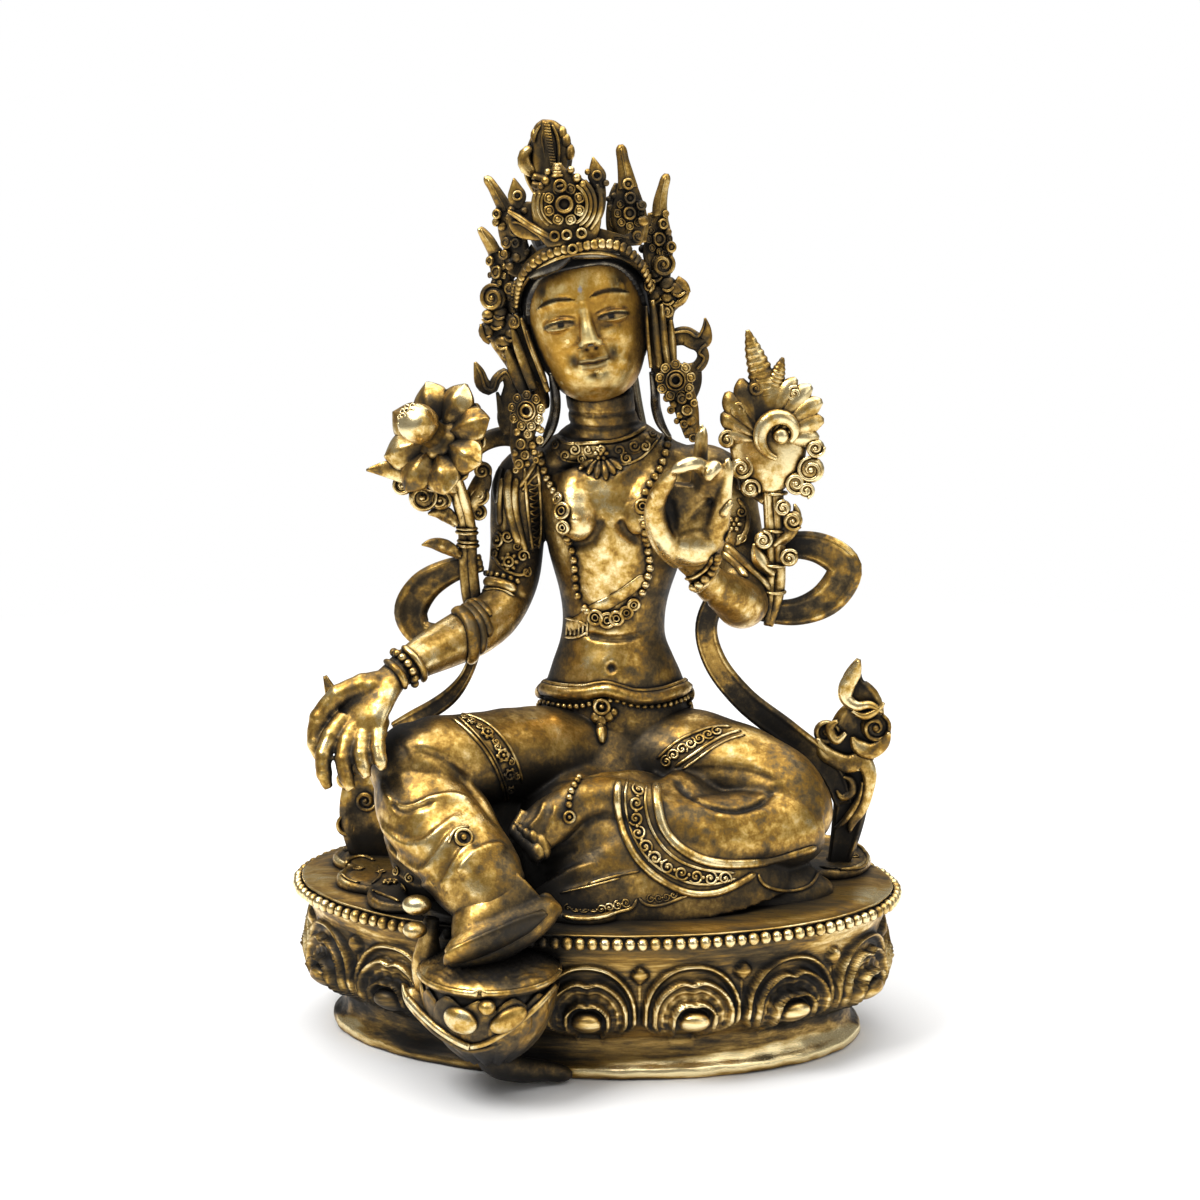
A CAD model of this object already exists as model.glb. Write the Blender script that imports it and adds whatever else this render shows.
import math
import bpy
import numpy as np
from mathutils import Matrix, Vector
from mathutils.bvhtree import BVHTree


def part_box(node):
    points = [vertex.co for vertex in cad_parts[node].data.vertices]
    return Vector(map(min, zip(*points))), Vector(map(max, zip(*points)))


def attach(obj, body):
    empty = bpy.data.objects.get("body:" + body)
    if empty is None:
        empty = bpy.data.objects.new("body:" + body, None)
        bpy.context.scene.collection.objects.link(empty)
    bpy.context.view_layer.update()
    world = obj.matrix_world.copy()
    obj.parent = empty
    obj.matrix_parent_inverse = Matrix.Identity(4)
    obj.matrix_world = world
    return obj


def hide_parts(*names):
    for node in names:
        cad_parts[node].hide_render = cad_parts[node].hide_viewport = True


# A cast brass goddess on an oval lotus base. All places are in millimetres of the drawing until a piece
# is made, x to the figure's left, y to its back, z up. The figure's rows count z from the flat it sits on.

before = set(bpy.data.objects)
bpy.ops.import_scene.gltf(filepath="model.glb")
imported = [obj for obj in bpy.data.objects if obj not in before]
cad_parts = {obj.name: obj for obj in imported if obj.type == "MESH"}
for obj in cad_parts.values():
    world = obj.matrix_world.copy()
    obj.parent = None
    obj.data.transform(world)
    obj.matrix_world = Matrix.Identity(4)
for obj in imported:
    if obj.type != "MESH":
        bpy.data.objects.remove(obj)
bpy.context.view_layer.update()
figureTop = 220.455
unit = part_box("tara_figure")[1].z / figureTop  # one millimetre of the drawing
seatHeight = 38.4  # the flat of the base over the floor
fine = np.random.default_rng(7)
print("frame loaded")

# Camera, as the photograph was taken: a little to the figure's left and above it
cameraLook = dict(
    distance=550, height=209, down=10.5, aside=6, lens=69.21, shift=0.0042,
    reach=2307, middle=(595, 600),  # of the photograph, in its points
)
aside = math.radians(cameraLook["aside"])
down = math.radians(cameraLook["down"])
cameraPlace = np.array([
    math.sin(aside) * cameraLook["distance"], -math.cos(aside) * cameraLook["distance"], cameraLook["height"],
])
forward = np.array([-math.sin(aside) * math.cos(down), math.cos(aside) * math.cos(down), -math.sin(down)])
rightward = np.array([math.cos(aside), math.sin(aside), 0])
upward = np.cross(rightward, forward)
bpy.ops.object.camera_add(
    location=[v * unit for v in cameraPlace], rotation=(math.radians(90) - down, 0, aside),
)
camera = bpy.context.object
camera.data.lens = cameraLook["lens"]
camera.data.shift_x = cameraLook["shift"]
bpy.context.scene.camera = camera


# Small helpers

def clearSelection():
    if bpy.context.object and bpy.context.object.mode != "OBJECT":
        bpy.ops.object.mode_set(mode="OBJECT")
    bpy.ops.object.select_all(action="DESELECT")


def pick(piece):
    clearSelection()
    piece.select_set(True)
    bpy.context.view_layer.objects.active = piece


def smooth(low, high, value):
    t = np.clip((value - low) / (high - low), 0, 1)
    return t * t * (3 - 2 * t)


def unitVector(v):
    v = np.asarray(v, float)
    return v / np.maximum(np.linalg.norm(v, axis=-1, keepdims=True), 1e-9)


def readVertices(mesh, key="co"):
    values = np.empty(len(mesh.vertices) * 3)
    mesh.vertices.foreach_get(key, values)
    return values.reshape(-1, 3)


def readMesh(piece):  # places, four-sided faces and three-sided faces
    mesh = piece.data
    faces = [tuple(p.vertices) for p in mesh.polygons]
    quads = np.array([f for f in faces if len(f) == 4], int).reshape(-1, 4)
    corners = np.array([f for f in faces if len(f) == 3], int).reshape(-1, 3)
    return readVertices(mesh), quads, corners


blanks = {}


def tubeBlank(sides, cuts):  # an upright round bar with rings cut in it, that rows then bend into shape
    if (sides, cuts) not in blanks:
        clearSelection()
        bpy.ops.mesh.primitive_cylinder_add(vertices=sides, radius=1, depth=1, end_fill_type="TRIFAN")
        bar = bpy.context.object
        bpy.context.tool_settings.mesh_select_mode = (False, True, False)
        for edge in bar.data.edges:
            low, high = (bar.data.vertices[i].co for i in edge.vertices)
            edge.select = abs(low.z - high.z) > 0.5
        for shape in (bar.data.vertices, bar.data.polygons):
            shape.foreach_set("select", [False] * len(shape))
        bpy.ops.object.mode_set(mode="EDIT")
        bpy.ops.mesh.subdivide(number_cuts=cuts)
        bpy.ops.object.mode_set(mode="OBJECT")
        blanks[sides, cuts] = readMesh(bar)
        bpy.data.objects.remove(bar)
    return blanks[sides, cuts]


def ballBlank(around, rings):
    if ("ball", around, rings) not in blanks:
        clearSelection()
        bpy.ops.mesh.primitive_uv_sphere_add(segments=around, ring_count=rings, radius=1)
        blanks["ball", around, rings] = readMesh(bpy.context.object)
        bpy.data.objects.remove(bpy.context.object)
    return blanks["ball", around, rings]


def ringBlank(around, sides):
    if ("ring", around, sides) not in blanks:
        clearSelection()
        bpy.ops.mesh.primitive_torus_add(
            major_segments=around, minor_segments=sides, major_radius=1, minor_radius=0.25,
        )
        blanks["ring", around, sides] = readMesh(bpy.context.object)
        bpy.data.objects.remove(bpy.context.object)
    return blanks["ring", around, sides]


def alongRows(rows, share):  # places and sizes on a smooth line through rows, by share of its length
    rows = np.asarray(rows, float)
    if len(rows) == 2:
        return rows[0] + (rows[1] - rows[0]) * np.asarray(share)[:, None]
    step = np.sqrt(np.maximum(np.linalg.norm(np.diff(rows[:, :3], axis=0), axis=1), 1e-6))
    knots = np.r_[0, np.cumsum(step)]
    slope = np.diff(rows, axis=0) / step[:, None]
    middle = (step[1:, None] * slope[:-1] + step[:-1, None] * slope[1:]) / (step[1:] + step[:-1])[:, None]
    tangent = np.vstack([1.5 * slope[0] - 0.5 * middle[0], middle, 1.5 * slope[-1] - 0.5 * middle[-1]])

    def at(t):
        i = np.clip(np.searchsorted(knots, t, side="right") - 1, 0, len(step) - 1)
        h = step[i][:, None]
        f = ((t - knots[i]) / step[i])[:, None]
        return (
            (2 * f**3 - 3 * f**2 + 1) * rows[i] + (f**3 - 2 * f**2 + f) * h * tangent[i]
            + (3 * f**2 - 2 * f**3) * rows[i + 1] + (f**3 - f**2) * h * tangent[i + 1]
        )

    dense = np.linspace(0, knots[-1], 16 * len(rows))
    line = at(dense)[:, :3]
    length = np.r_[0, np.cumsum(np.linalg.norm(np.diff(line, axis=0), axis=1))]
    return at(np.interp(np.asarray(share) * length[-1], length, dense))


def lineLength(rows):
    line = alongRows(rows, np.linspace(0, 1, 60))[:, :3]
    return float(np.linalg.norm(np.diff(line, axis=0), axis=1).sum())


def roundSection(a, t):
    return np.cos(a), np.sin(a)


def bandSection(grooves=0, depth=0.3):  # a flat strip, with grooves along its face where it has any
    def section(a, t):
        x = np.sign(np.cos(a)) * np.abs(np.cos(a)) ** 0.55
        y = np.sign(np.sin(a)) * np.abs(np.sin(a)) ** 0.55
        if grooves:
            y = y * (1 - depth * (0.5 + 0.5 * np.cos(grooves * math.pi * (x + 1))))
        return x, y
    return section


def leafSection(rib=0.5, veins=0, ripple=0.12):  # a blade with a raised middle rib and slanting veins
    def section(a, t):
        x, y = np.cos(a), np.sin(a)
        lift = rib * np.exp(-((x / 0.22) ** 2)) * (1 - t)
        vein = ripple * np.cos((t * veins - np.abs(x) * 1.2) * 2 * math.pi) if veins else 0
        return x, np.sign(y) * (np.abs(y) * 0.8 + 0.12) * (1 + lift + vein)
    return section


cutPitch = 1.1  # millimetres between the cuts of a form where their count isn't given
thinnest = 0.02  # half width that a form's end keeps
frontFace = [[0, -1, 0]] * 2  # facing of a form that lies square to the front


# A closed form through rows of x, y, z, half width, half depth. The half width is measured along side, or
# square to the facing directions where the form lies on a surface.
def limb(rows, sides=12, cuts=None, side=(1, 0, 0), facing=None, section=roundSection, rise=seatHeight):
    if cuts is None:
        cuts = max(6, min(60, int(lineLength(rows) / cutPitch)))
    place, quads, corners = tubeBlank(sides, cuts)
    t = np.clip(place[:, 2] + 0.5, 0, 1)
    angle = np.arctan2(place[:, 1], place[:, 0])
    onAxis = np.hypot(place[:, 0], place[:, 1]) < 0.5
    row = alongRows(rows, t)
    step = 0.004
    ahead = alongRows(rows, np.clip(t + step, 0, 1))[:, :3]
    behind = alongRows(rows, np.clip(t - step, 0, 1))[:, :3]
    tangent = unitVector(ahead - behind)
    if facing is None:
        across = np.broadcast_to(np.asarray(side, float), tangent.shape)
        across = unitVector(across - tangent * np.sum(across * tangent, axis=1, keepdims=True))
        out = np.cross(across, tangent)
    else:
        knots = np.linspace(0, 1, len(facing))
        face = np.array([np.interp(t, knots, np.asarray(facing)[:, k]) for k in range(3)]).T
        out = unitVector(face - tangent * np.sum(face * tangent, axis=1, keepdims=True))
        across = np.cross(tangent, out)
    x, y = section(angle, t)
    x = np.where(onAxis, 0, x) * np.maximum(row[:, 3], thinnest)
    y = np.where(onAxis, 0, y) * np.maximum(row[:, 4], thinnest)
    made = row[:, :3] + across * x[:, None] + out * y[:, None]
    made[:, 2] += rise
    return made, quads, corners


def turnTo(direction, top=(0, 0, 1)):  # axes of a form that stands along a direction
    out = unitVector(direction)
    across = np.cross(np.asarray(top, float), out)
    if np.linalg.norm(across) < 1e-3:
        across = np.array([1.0, 0, 0])
    across = unitVector(across)
    return np.array([across, np.cross(out, across), out]).T


def ball(place, sizes, direction=(0, 0, 1), around=12, rings=8, rise=seatHeight):
    points, quads, corners = ballBlank(around, rings)
    sizes = [sizes] * 3 if np.isscalar(sizes) else sizes
    made = (points * sizes) @ turnTo(direction).T + place
    made[:, 2] += rise
    return made, quads, corners


def ring(place, direction, radius, thick, around=20, sides=6, rise=seatHeight, flat=1.0):
    points, quads, corners = ringBlank(around, sides)
    reach = np.hypot(points[:, 0], points[:, 1])
    new = radius + (reach - 1) * thick * 4
    made = np.c_[points[:, :2] / reach[:, None] * new[:, None], points[:, 2] * thick * 4 * flat]
    made = made @ turnTo(direction).T + place
    made[:, 2] += rise
    return made, quads, corners


def rosette(place, direction, radius, petals=6, high=0.5, rise=seatHeight):
    axes = turnTo(direction)
    parts = [ball(place, (radius * 0.3, radius * 0.3, radius * high), direction, 10, 6, rise)]
    for k in range(petals):
        turn = k / petals * 2 * math.pi
        out = axes[:, 0] * math.cos(turn) + axes[:, 1] * math.sin(turn)
        wide = radius * min(0.34, 1.7 / petals)
        points, quads, corners = ballBlank(8, 6)
        own = np.array([np.cross(axes[:, 2], out), out, axes[:, 2]]).T
        made = (points * (wide, radius * 0.36, radius * high * 0.7)) @ own.T + place + out * radius * 0.6
        made[:, 2] += rise
        parts.append((made, quads, corners))
    parts.append(ring(place, direction, radius * 0.34, radius * 0.07, 14, 6, rise))
    return parts


# A spiral that lies on a surface, from its outer end to a raised eye
def scroll(place, direction, top, radius, turns=1.5, thick=0.4, hand=1, rise=seatHeight, start=0):
    out = unitVector(direction)
    axes = turnTo(out, top)
    share = np.linspace(0, 1, max(8, int(turns * 9)))
    angle = start + hand * share * turns * 2 * math.pi
    reach = radius * (1 - share * 0.8)
    rows = [
        [*(np.asarray(place) + axes[:, 0] * r * math.sin(a) + axes[:, 1] * r * math.cos(a)), w, w]
        for r, a, w in zip(reach, angle, thick * (0.75 + 0.35 * np.sin(share * math.pi)))
    ]
    return [limb(rows, 6, int(turns * 14), facing=[out, out], rise=rise),
            ball(place, (radius * 0.26, radius * 0.26, radius * 0.3), direction, 8, 6, rise)]


def cushionedScroll(place, direction, radius, thick, hand, start, behind, deep):  # with a low cushion behind
    x, y, z = place
    return [scroll(place, direction, (0, 0, 1), radius, 1.5, thick, hand, start=start),
            ball((x, y + behind, z), (radius, radius, deep), direction, 18, 8)]


def beadsAlong(rows, radius, pitch, around=8, rings=6):
    count = max(2, int(round(lineLength(rows) / pitch)))
    places = alongRows(rows, (np.arange(count) + 0.5) / count)[:, :3]
    return [ball(place, radius, around=around, rings=rings, rise=0) for place in places]


def flatList(parts):
    if isinstance(parts, tuple):
        return [parts]
    return [one for part in parts for one in flatList(part)]


def turnFacesOut(piece):
    pick(piece)
    bpy.ops.object.mode_set(mode="EDIT")
    bpy.ops.mesh.select_all(action="SELECT")
    bpy.ops.mesh.normals_make_consistent(inside=False)
    bpy.ops.object.mode_set(mode="OBJECT")


def shadeSmooth(piece):
    pick(piece)
    bpy.ops.object.shade_smooth()


def makePiece(name, parts):
    places, faces, start = [], [], 0
    for place, quads, corners in flatList(parts):
        places.append(place)
        faces += (quads + start).tolist() + (corners + start).tolist()
        start += len(place)
    mesh = bpy.data.meshes.new(name)
    mesh.from_pydata(np.vstack(places) * unit, [], faces)
    piece = bpy.data.objects.new(name, mesh)
    bpy.context.collection.objects.link(piece)
    turnFacesOut(piece)
    shadeSmooth(piece)
    return piece


def useModifier(piece, kind, **settings):
    pick(piece)
    modifier = piece.modifiers.new(kind.lower(), kind)
    for key, value in settings.items():
        setattr(modifier, key, value)
    bpy.ops.object.modifier_apply(modifier=modifier.name)


def lighten(piece, keep):  # fewer faces where a skin is smooth
    useModifier(piece, "DECIMATE", ratio=keep)
    shadeSmooth(piece)


def cast(piece, voxel, soften):  # one skin over all the parts of a piece, as metal is cast
    useModifier(piece, "REMESH", mode="VOXEL", voxel_size=voxel * unit)
    useModifier(piece, "SMOOTH", factor=0.5, iterations=soften)
    shadeSmooth(piece)
    return piece


def reshape(piece, move):  # moves the places of a finished skin, given in millimetres from the seat
    mesh = piece.data
    place = readVertices(mesh) / unit
    place[:, 2] -= seatHeight
    moved = move(place, readVertices(mesh, "normal"))
    moved[:, 2] += seatHeight
    mesh.vertices.foreach_set("co", (moved * unit).ravel())
    mesh.update()


# Finding places on a finished skin

def skinOf(*pieces):
    places, faces, start = [], [], 0
    for piece in pieces:
        mesh = piece.data
        mesh.calc_loop_triangles()
        corner = np.empty(len(mesh.loop_triangles) * 3, int)
        mesh.loop_triangles.foreach_get("vertices", corner)
        places.append(readVertices(mesh) / unit)
        faces += (corner.reshape(-1, 3) + start).tolist()
        start += len(mesh.vertices)
    return BVHTree.FromPolygons(np.vstack(places).tolist(), faces)


def sightLine(across, high):  # the way from the camera through a point of the photograph
    middleX, middleY = cameraLook["middle"]
    return forward * cameraLook["reach"] + rightward * (across - middleX) - upward * (high - middleY)


def seenAt(skin, across, high, lift=0.0):  # the place that is seen at a picture point, and its direction out
    place, normal, _, _ = skin.ray_cast(Vector(cameraPlace), Vector(sightLine(across, high)).normalized())
    if place is None:
        return None
    return np.array(place) + np.array(normal) * lift, np.array(normal)


def seenAlong(skin, points, lift=0.0):
    return [found for found in (seenAt(skin, x, y, lift) for x, y, *_ in points) if found]


def atDepth(across, high, depth):  # the place behind a picture point at this y
    way = sightLine(across, high)
    return cameraPlace + way * (depth - cameraPlace[1]) / way[1]


def finishPiece(piece, finish, node):
    piece.data.materials.clear()
    piece.data.materials.append(finish)
    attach(piece, "root")
    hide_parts(node)
    print(piece.name, len(piece.data.polygons), "faces")


# Finishes: old brass, worn to gold on what stands out and nearly black in what lies deep

brassLook = dict(
    deep=(0.006, 0.0045, 0.003), shade=(0.036, 0.025, 0.011), middle=(0.135, 0.092, 0.038),
    amber=(0.34, 0.185, 0.032), worn=(0.61, 0.39, 0.10), bright=(1.0, 0.83, 0.46), hollow=0.0016, room=0.017,
    mottle=62, grain=420, bump=0.2, wear=-0.24, gloss=(0.6, 0.25), spots=0.34, contrast=1.0,
)
hairLook = dict(
    deep=(0.004, 0.004, 0.004), shade=(0.012, 0.011, 0.011), middle=(0.03, 0.028, 0.026),
    amber=(0.045, 0.04, 0.036), worn=(0.08, 0.072, 0.06), bright=(0.26, 0.22, 0.15), hollow=0.0025,
    room=0.011, mottle=90, grain=500, bump=0.12, wear=-0.1, gloss=(0.45, 0.22), spots=0.34, contrast=1.0,
)
toneAt = dict(deep=0.2, shade=0.4, middle=0.56, amber=0.69, worn=0.79, bright=1.0)  # the level of each tone
openFrom, openTo = 0.35, 0.95  # the share of open air that counts as hollow, and as free
weights = dict(room=0.5, hollow=0.24, edge=0.36, patch=0.85, grain=0.5, foot=0.46, pivot=0.62, speck=0.16)


def oldMetal(name, look, stretch=(1, 1, 1)):
    finish = bpy.data.materials.new(name)
    finish.use_nodes = True
    nodes, links = finish.node_tree.nodes, finish.node_tree.links
    shader = nodes["Principled BSDF"]

    def add(kind, **settings):
        node = nodes.new(kind)
        for key, value in settings.items():
            if key in node.inputs:
                node.inputs[key].default_value = value
            else:
                setattr(node, key, value)
        return node

    def combine(operation, a, b, clamp=False):
        node = nodes.new("ShaderNodeMath")
        node.operation = operation
        node.use_clamp = clamp
        for socket, value in zip(node.inputs, (a, b)):
            if isinstance(value, (int, float)):
                socket.default_value = value
            else:
                links.new(value, socket)
        return node.outputs[0]

    def offMiddle(value):
        return combine("SUBTRACT", value, 0.5)

    def plus(value, other, weight):
        return combine("ADD", value, combine("MULTIPLY", other, weight))

    def remap(value, low, high, toLow=0.0, toHigh=1.0):
        node = nodes.new("ShaderNodeMapRange")
        links.new(value, node.inputs["Value"])
        node.inputs["From Min"].default_value = low
        node.inputs["From Max"].default_value = high
        node.inputs["To Min"].default_value = toLow
        node.inputs["To Max"].default_value = toHigh
        return node.outputs[0]

    where = add("ShaderNodeTexCoord").outputs["Object"]
    turn = add("ShaderNodeMapping")
    turn.inputs["Scale"].default_value = stretch
    links.new(where, turn.inputs["Vector"])

    def cloud(scale, detail=4, rough=0.6):
        node = add("ShaderNodeTexNoise", Scale=scale, Detail=detail, Roughness=rough)
        links.new(turn.outputs[0], node.inputs["Vector"])
        return node.outputs["Fac"]

    def openness(distance):
        node = add("ShaderNodeAmbientOcclusion", samples=7)
        node.inputs["Distance"].default_value = distance
        return remap(node.outputs["AO"], openFrom, openTo)

    mottle = remap(cloud(look["mottle"], 9, 0.66), 0.42, 0.58)
    patch = remap(cloud(look["mottle"] * 0.42, 6, 0.55), 0.38, 0.62)
    grain = cloud(look["grain"], 4, 0.7)
    speck = cloud(look["grain"] * 3.1, 3, 0.6)
    edge = remap(add("ShaderNodeNewGeometry").outputs["Pointiness"], 0.43, 0.57)
    level = combine("MULTIPLY", openness(look["room"]), weights["room"])
    level = plus(level, openness(look["hollow"]), weights["hollow"])
    level = plus(level, edge, weights["edge"])
    level = plus(level, offMiddle(mottle), look["spots"])
    level = plus(level, offMiddle(patch), look["spots"] * weights["patch"])
    level = plus(level, offMiddle(grain), weights["grain"])
    if "foot" in look:  # a brighter edge near the floor, where the casting is rubbed
        low = nodes.new("ShaderNodeSeparateXYZ")
        links.new(where, low.inputs[0])
        uneven = combine("MULTIPLY", offMiddle(patch), look["foot"] * 1.3)
        height = combine("SUBTRACT", low.outputs["Z"], uneven)
        level = plus(level, remap(height, look["foot"], look["foot"] * 0.6), weights["foot"])
    level = combine("ADD", level, look["wear"] - weights["pivot"])
    level = combine("ADD", combine("MULTIPLY", level, look["contrast"]), weights["pivot"], clamp=True)
    ramp = nodes.new("ShaderNodeValToRGB")
    links.new(level, ramp.inputs[0])
    stops = ramp.color_ramp.elements
    stops[0].position, stops[1].position = toneAt["deep"], toneAt["bright"]
    for key in ("shade", "middle", "amber", "worn"):
        stops.new(toneAt[key])
    for stop, key in zip(stops, toneAt):
        stop.color = (*look[key], 1)
    links.new(ramp.outputs[0], shader.inputs["Base Color"])
    links.new(remap(level, 0.25, 0.8, 0.5, 0.97), shader.inputs["Metallic"])
    gloss = plus(remap(level, 0.25, 0.95, *look["gloss"]), offMiddle(speck), weights["speck"])
    links.new(gloss, shader.inputs["Roughness"])
    bump = add("ShaderNodeBump", Strength=look["bump"], Distance=0.0004)
    rough = plus(combine("MULTIPLY", grain, 0.6), speck, 0.4)
    links.new(rough, bump.inputs["Height"])
    links.new(bump.outputs[0], shader.inputs["Normal"])
    return finish


brass = oldMetal("old_brass", brassLook)
crownBrass = oldMetal("darker_crown_brass", dict(brassLook, mottle=130, wear=-0.27, contrast=0.8))
ornamentBrass = oldMetal("dark_ornament_brass", dict(brassLook, mottle=110, wear=-0.2))
brushedBrass = oldMetal("brushed_old_brass", dict(brassLook, mottle=50, wear=-0.18, foot=0.0036),
                        stretch=(0.3, 1.3, 3.2))
bodyBrass = oldMetal("worn_body_brass", dict(brassLook, mottle=44, spots=0.22, wear=-0.21, contrast=1.4))
legBrass = oldMetal("worn_leg_brass", dict(brassLook, mottle=58, spots=0.17, wear=-0.225, contrast=1.35))
rubbedBrass = oldMetal("rubbed_brass", dict(brassLook, mottle=90, spots=0.24, wear=-0.1,
                                            bright=(0.9, 0.8, 0.5)))
scarfBrass = oldMetal("dark_scarf_brass", dict(brassLook, mottle=95, wear=-0.31))
darkHair = oldMetal("blackened_hair", hairLook)
darkSole = oldMetal("dark_sole", dict(brassLook, wear=-0.46, mottle=45, gloss=(0.5, 0.3)))


# Lotus base: an oval ring of rows, with the petals worked into the band

baseLook = dict(
    width=148, depth=94, petals=15, columns=52, columnShift=-33, bandLow=9.6, bandHigh=31.6, bandInset=3.6,
    rimBead=1.42, beadPitch=2.95, beadHeight=35.9, beadLine=394,
)


def onOval(angle, inset):
    return np.c_[
        np.cos(angle) * (baseLook["width"] / 2 - inset), np.sin(angle) * (baseLook["depth"] / 2 - inset),
    ]


def evenAngles(count, inset, shift=0.0):
    dense = np.linspace(0, 2 * math.pi, 1441)
    line = onOval(dense, inset)
    length = np.r_[0, np.cumsum(np.linalg.norm(np.diff(line, axis=0), axis=1))]
    share = np.mod(np.arange(count) + shift, count) / count
    return np.interp(share * length[-1], length, dense)


def petalRelief(share, height):  # how far the band's metal lies behind the line under the beads
    valley = np.interp(
        height, [9.6, 12, 14, 16, 20, 24, 28, 30.4, 31.6], [10.6, 8.8, 6.9, 5.6, 4.8, 4.4, 3.8, 3.0, 2.4],
    )
    body = np.interp(
        height, [9.6, 11, 12.5, 14, 16, 18, 21, 24, 27, 29.6, 31.6],
        [10.6, 8.4, 5.2, 2.9, 1.5, 1.0, 1.3, 1.6, 1.8, 2.3, 2.4],
    )
    x = share * 24
    up = height - 15.6
    low = np.clip(-up / 4.2, 0, 1)

    def arch(wide, tall, dip=0.0, wave=0.0):
        tall = tall * (1 - dip * np.exp(-((x / 1.5) ** 2)))
        turn = np.arctan2(np.maximum(up, 0), np.abs(x))
        bend = 1 + wave * np.cos(turn * 6)
        wide = wide * (1 - 0.3 * low**1.4)
        return ((np.abs(x) / wide) ** 2.3 + (np.maximum(up, 0) / tall) ** 2.3) ** (1 / 2.3) * bend

    def lip(q, at, wide, size):
        return size * np.exp(-(((q - at) * wide / 0.42) ** 2))

    full = valley - body
    outer = arch(11.3, 14.2, 0.0, 0.006)
    second = arch(9.3, 10.8, 0.10, 0.012)
    hood = arch(5.2, 5.9, 0.12, 0.015)
    fade = smooth(-5.5, -1.5, up)
    out = full * 0.15 * smooth(1.3, 1.0, outer)
    inside = smooth(1.035, 0.97, outer)
    out = out * (1 - inside) + inside * (full * 0.72 - 0.9 * smooth(0.95, 0.86, outer) * fade)
    out += lip(outer, 0.965, 11.3, 0.75) * fade
    inside = smooth(1.03, 0.965, second)
    out = out * (1 - inside) + inside * (full * 0.9 + 0.25 - 1.35 * smooth(0.94, 0.80, second) * fade)
    out += lip(second, 0.955, 9.3, 0.8) * fade
    streak = 0.16 * np.sin(np.arctan2(up + 4, x) * 26) * smooth(0.9, 0.8, second)
    out += streak * smooth(1.0, 1.12, hood) * fade
    out += lip(second, 0.76, 9.3, 0.42) * smooth(1.05, 1.2, hood) * fade
    inside = smooth(1.05, 0.95, hood)
    out = out * (1 - inside) + inside * (full + 0.9 - 1.9 * smooth(0.93, 0.72, hood))
    out += lip(hood, 0.95, 5.2, 0.75)
    boss = (x / 3.6) ** 2 + ((height - 16.2) / 2.9) ** 2
    out = np.maximum(out, np.where(boss < 1, full - 0.4 + 2.7 * np.sqrt(np.maximum(1 - boss, 0)), -9))
    beside = np.abs(12 - np.abs(x))
    bud = 1 - (beside / 2.1) ** 1.5 - (np.abs(height - 27.3) / 2.3) ** 1.5
    out = np.maximum(out, np.where(bud > 0, 0.5 + 1.6 * np.sqrt(np.maximum(bud, 0)), -9))
    out += 0.5 * np.exp(-((beside / 0.45) ** 2)) * smooth(17, 20, height) * smooth(26, 24, height)
    return valley - out


def makeBase():
    look = baseLook
    low = [
        (0, 9.6), (0, 8.5), (0.3, 8.05), (1.1, 7.9), (2.1, 8.0), (2.6, 8.35), (3.0, 9.1), (3.9, 9.9),
        (5.2, 10.5), (6.6, 10.8), (8, 10.9), (9, 10.8),
    ]
    high = [
        (32.1, 2.3), (32.9, 1.9), (33.6, 1.5), (34.4, 1.3), (35.8, 1.2), (36.9, 1.2), (37.5, 0.75),
        (37.75, 1.0), (37.7, 1.5), (37.75, 2.4), (38.0, 3.6), (38.25, 4.6), (38.4, 6), (38.4, 12), (38.4, 22),
        (38.4, 34),
    ]
    band = np.linspace(look["bandLow"], look["bandHigh"], 62)
    rows = [(h, i) for h, i in low] + [(h, None) for h in band] + [(h, i) for h, i in high]
    count = look["petals"] * look["columns"]
    place, quads, corners = tubeBlank(count, len(rows) - 2)
    level = np.rint((place[:, 2] + 0.5) * (len(rows) - 1)).astype(int)
    column = np.rint(np.arctan2(place[:, 1], place[:, 0]) / (2 * math.pi) * count).astype(int) % count
    angle = evenAngles(count, look["bandInset"], look["columnShift"])[column]
    share = np.mod(column / look["columns"] + 0.5, 1) - 0.5
    height = np.array([row[0] for row in rows])[level]
    inset = np.array([row[1] if row[1] is not None else 0 for row in rows], float)[level]
    inBand = np.array([row[1] is None for row in rows])[level]
    inset = np.where(inBand, petalRelief(share, height), inset)
    sway = 0.12 * np.sin(angle * 23) + 0.08 * np.sin(angle * 41 + height)
    inset = inset + np.where(height < 9.5, sway * 0.8, sway * 0.5)
    flat = onOval(angle, inset)
    onAxis = np.hypot(place[:, 0], place[:, 1]) < 0.5
    flat[onAxis] = 0
    return makePiece("lotus_pedestal", [(np.c_[flat, height], quads, corners)])


pedestal = makeBase()
finishPiece(pedestal, brushedBrass, "lotus_base")

beadCount = int(round(baseLook["beadLine"] / baseLook["beadPitch"]))
beadLine = onOval(evenAngles(beadCount, 0), -0.15)
rimBeads = makePiece("rim_beads", [
    ball([x, y, baseLook["beadHeight"]], (r, r, r * 1.04), around=10, rings=8, rise=0)
    for (x, y), r in zip(beadLine, baseLook["rimBead"] * fine.uniform(0.88, 1.05, beadCount))
])
finishPiece(rimBeads, brass, "lotus_base")


# Lotus under the right foot: a seed head on a cup of petals, with its stem and two buds

padLook = dict(place=(-19, -50), radius=16, edge=30.5, top=36.2)


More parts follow.
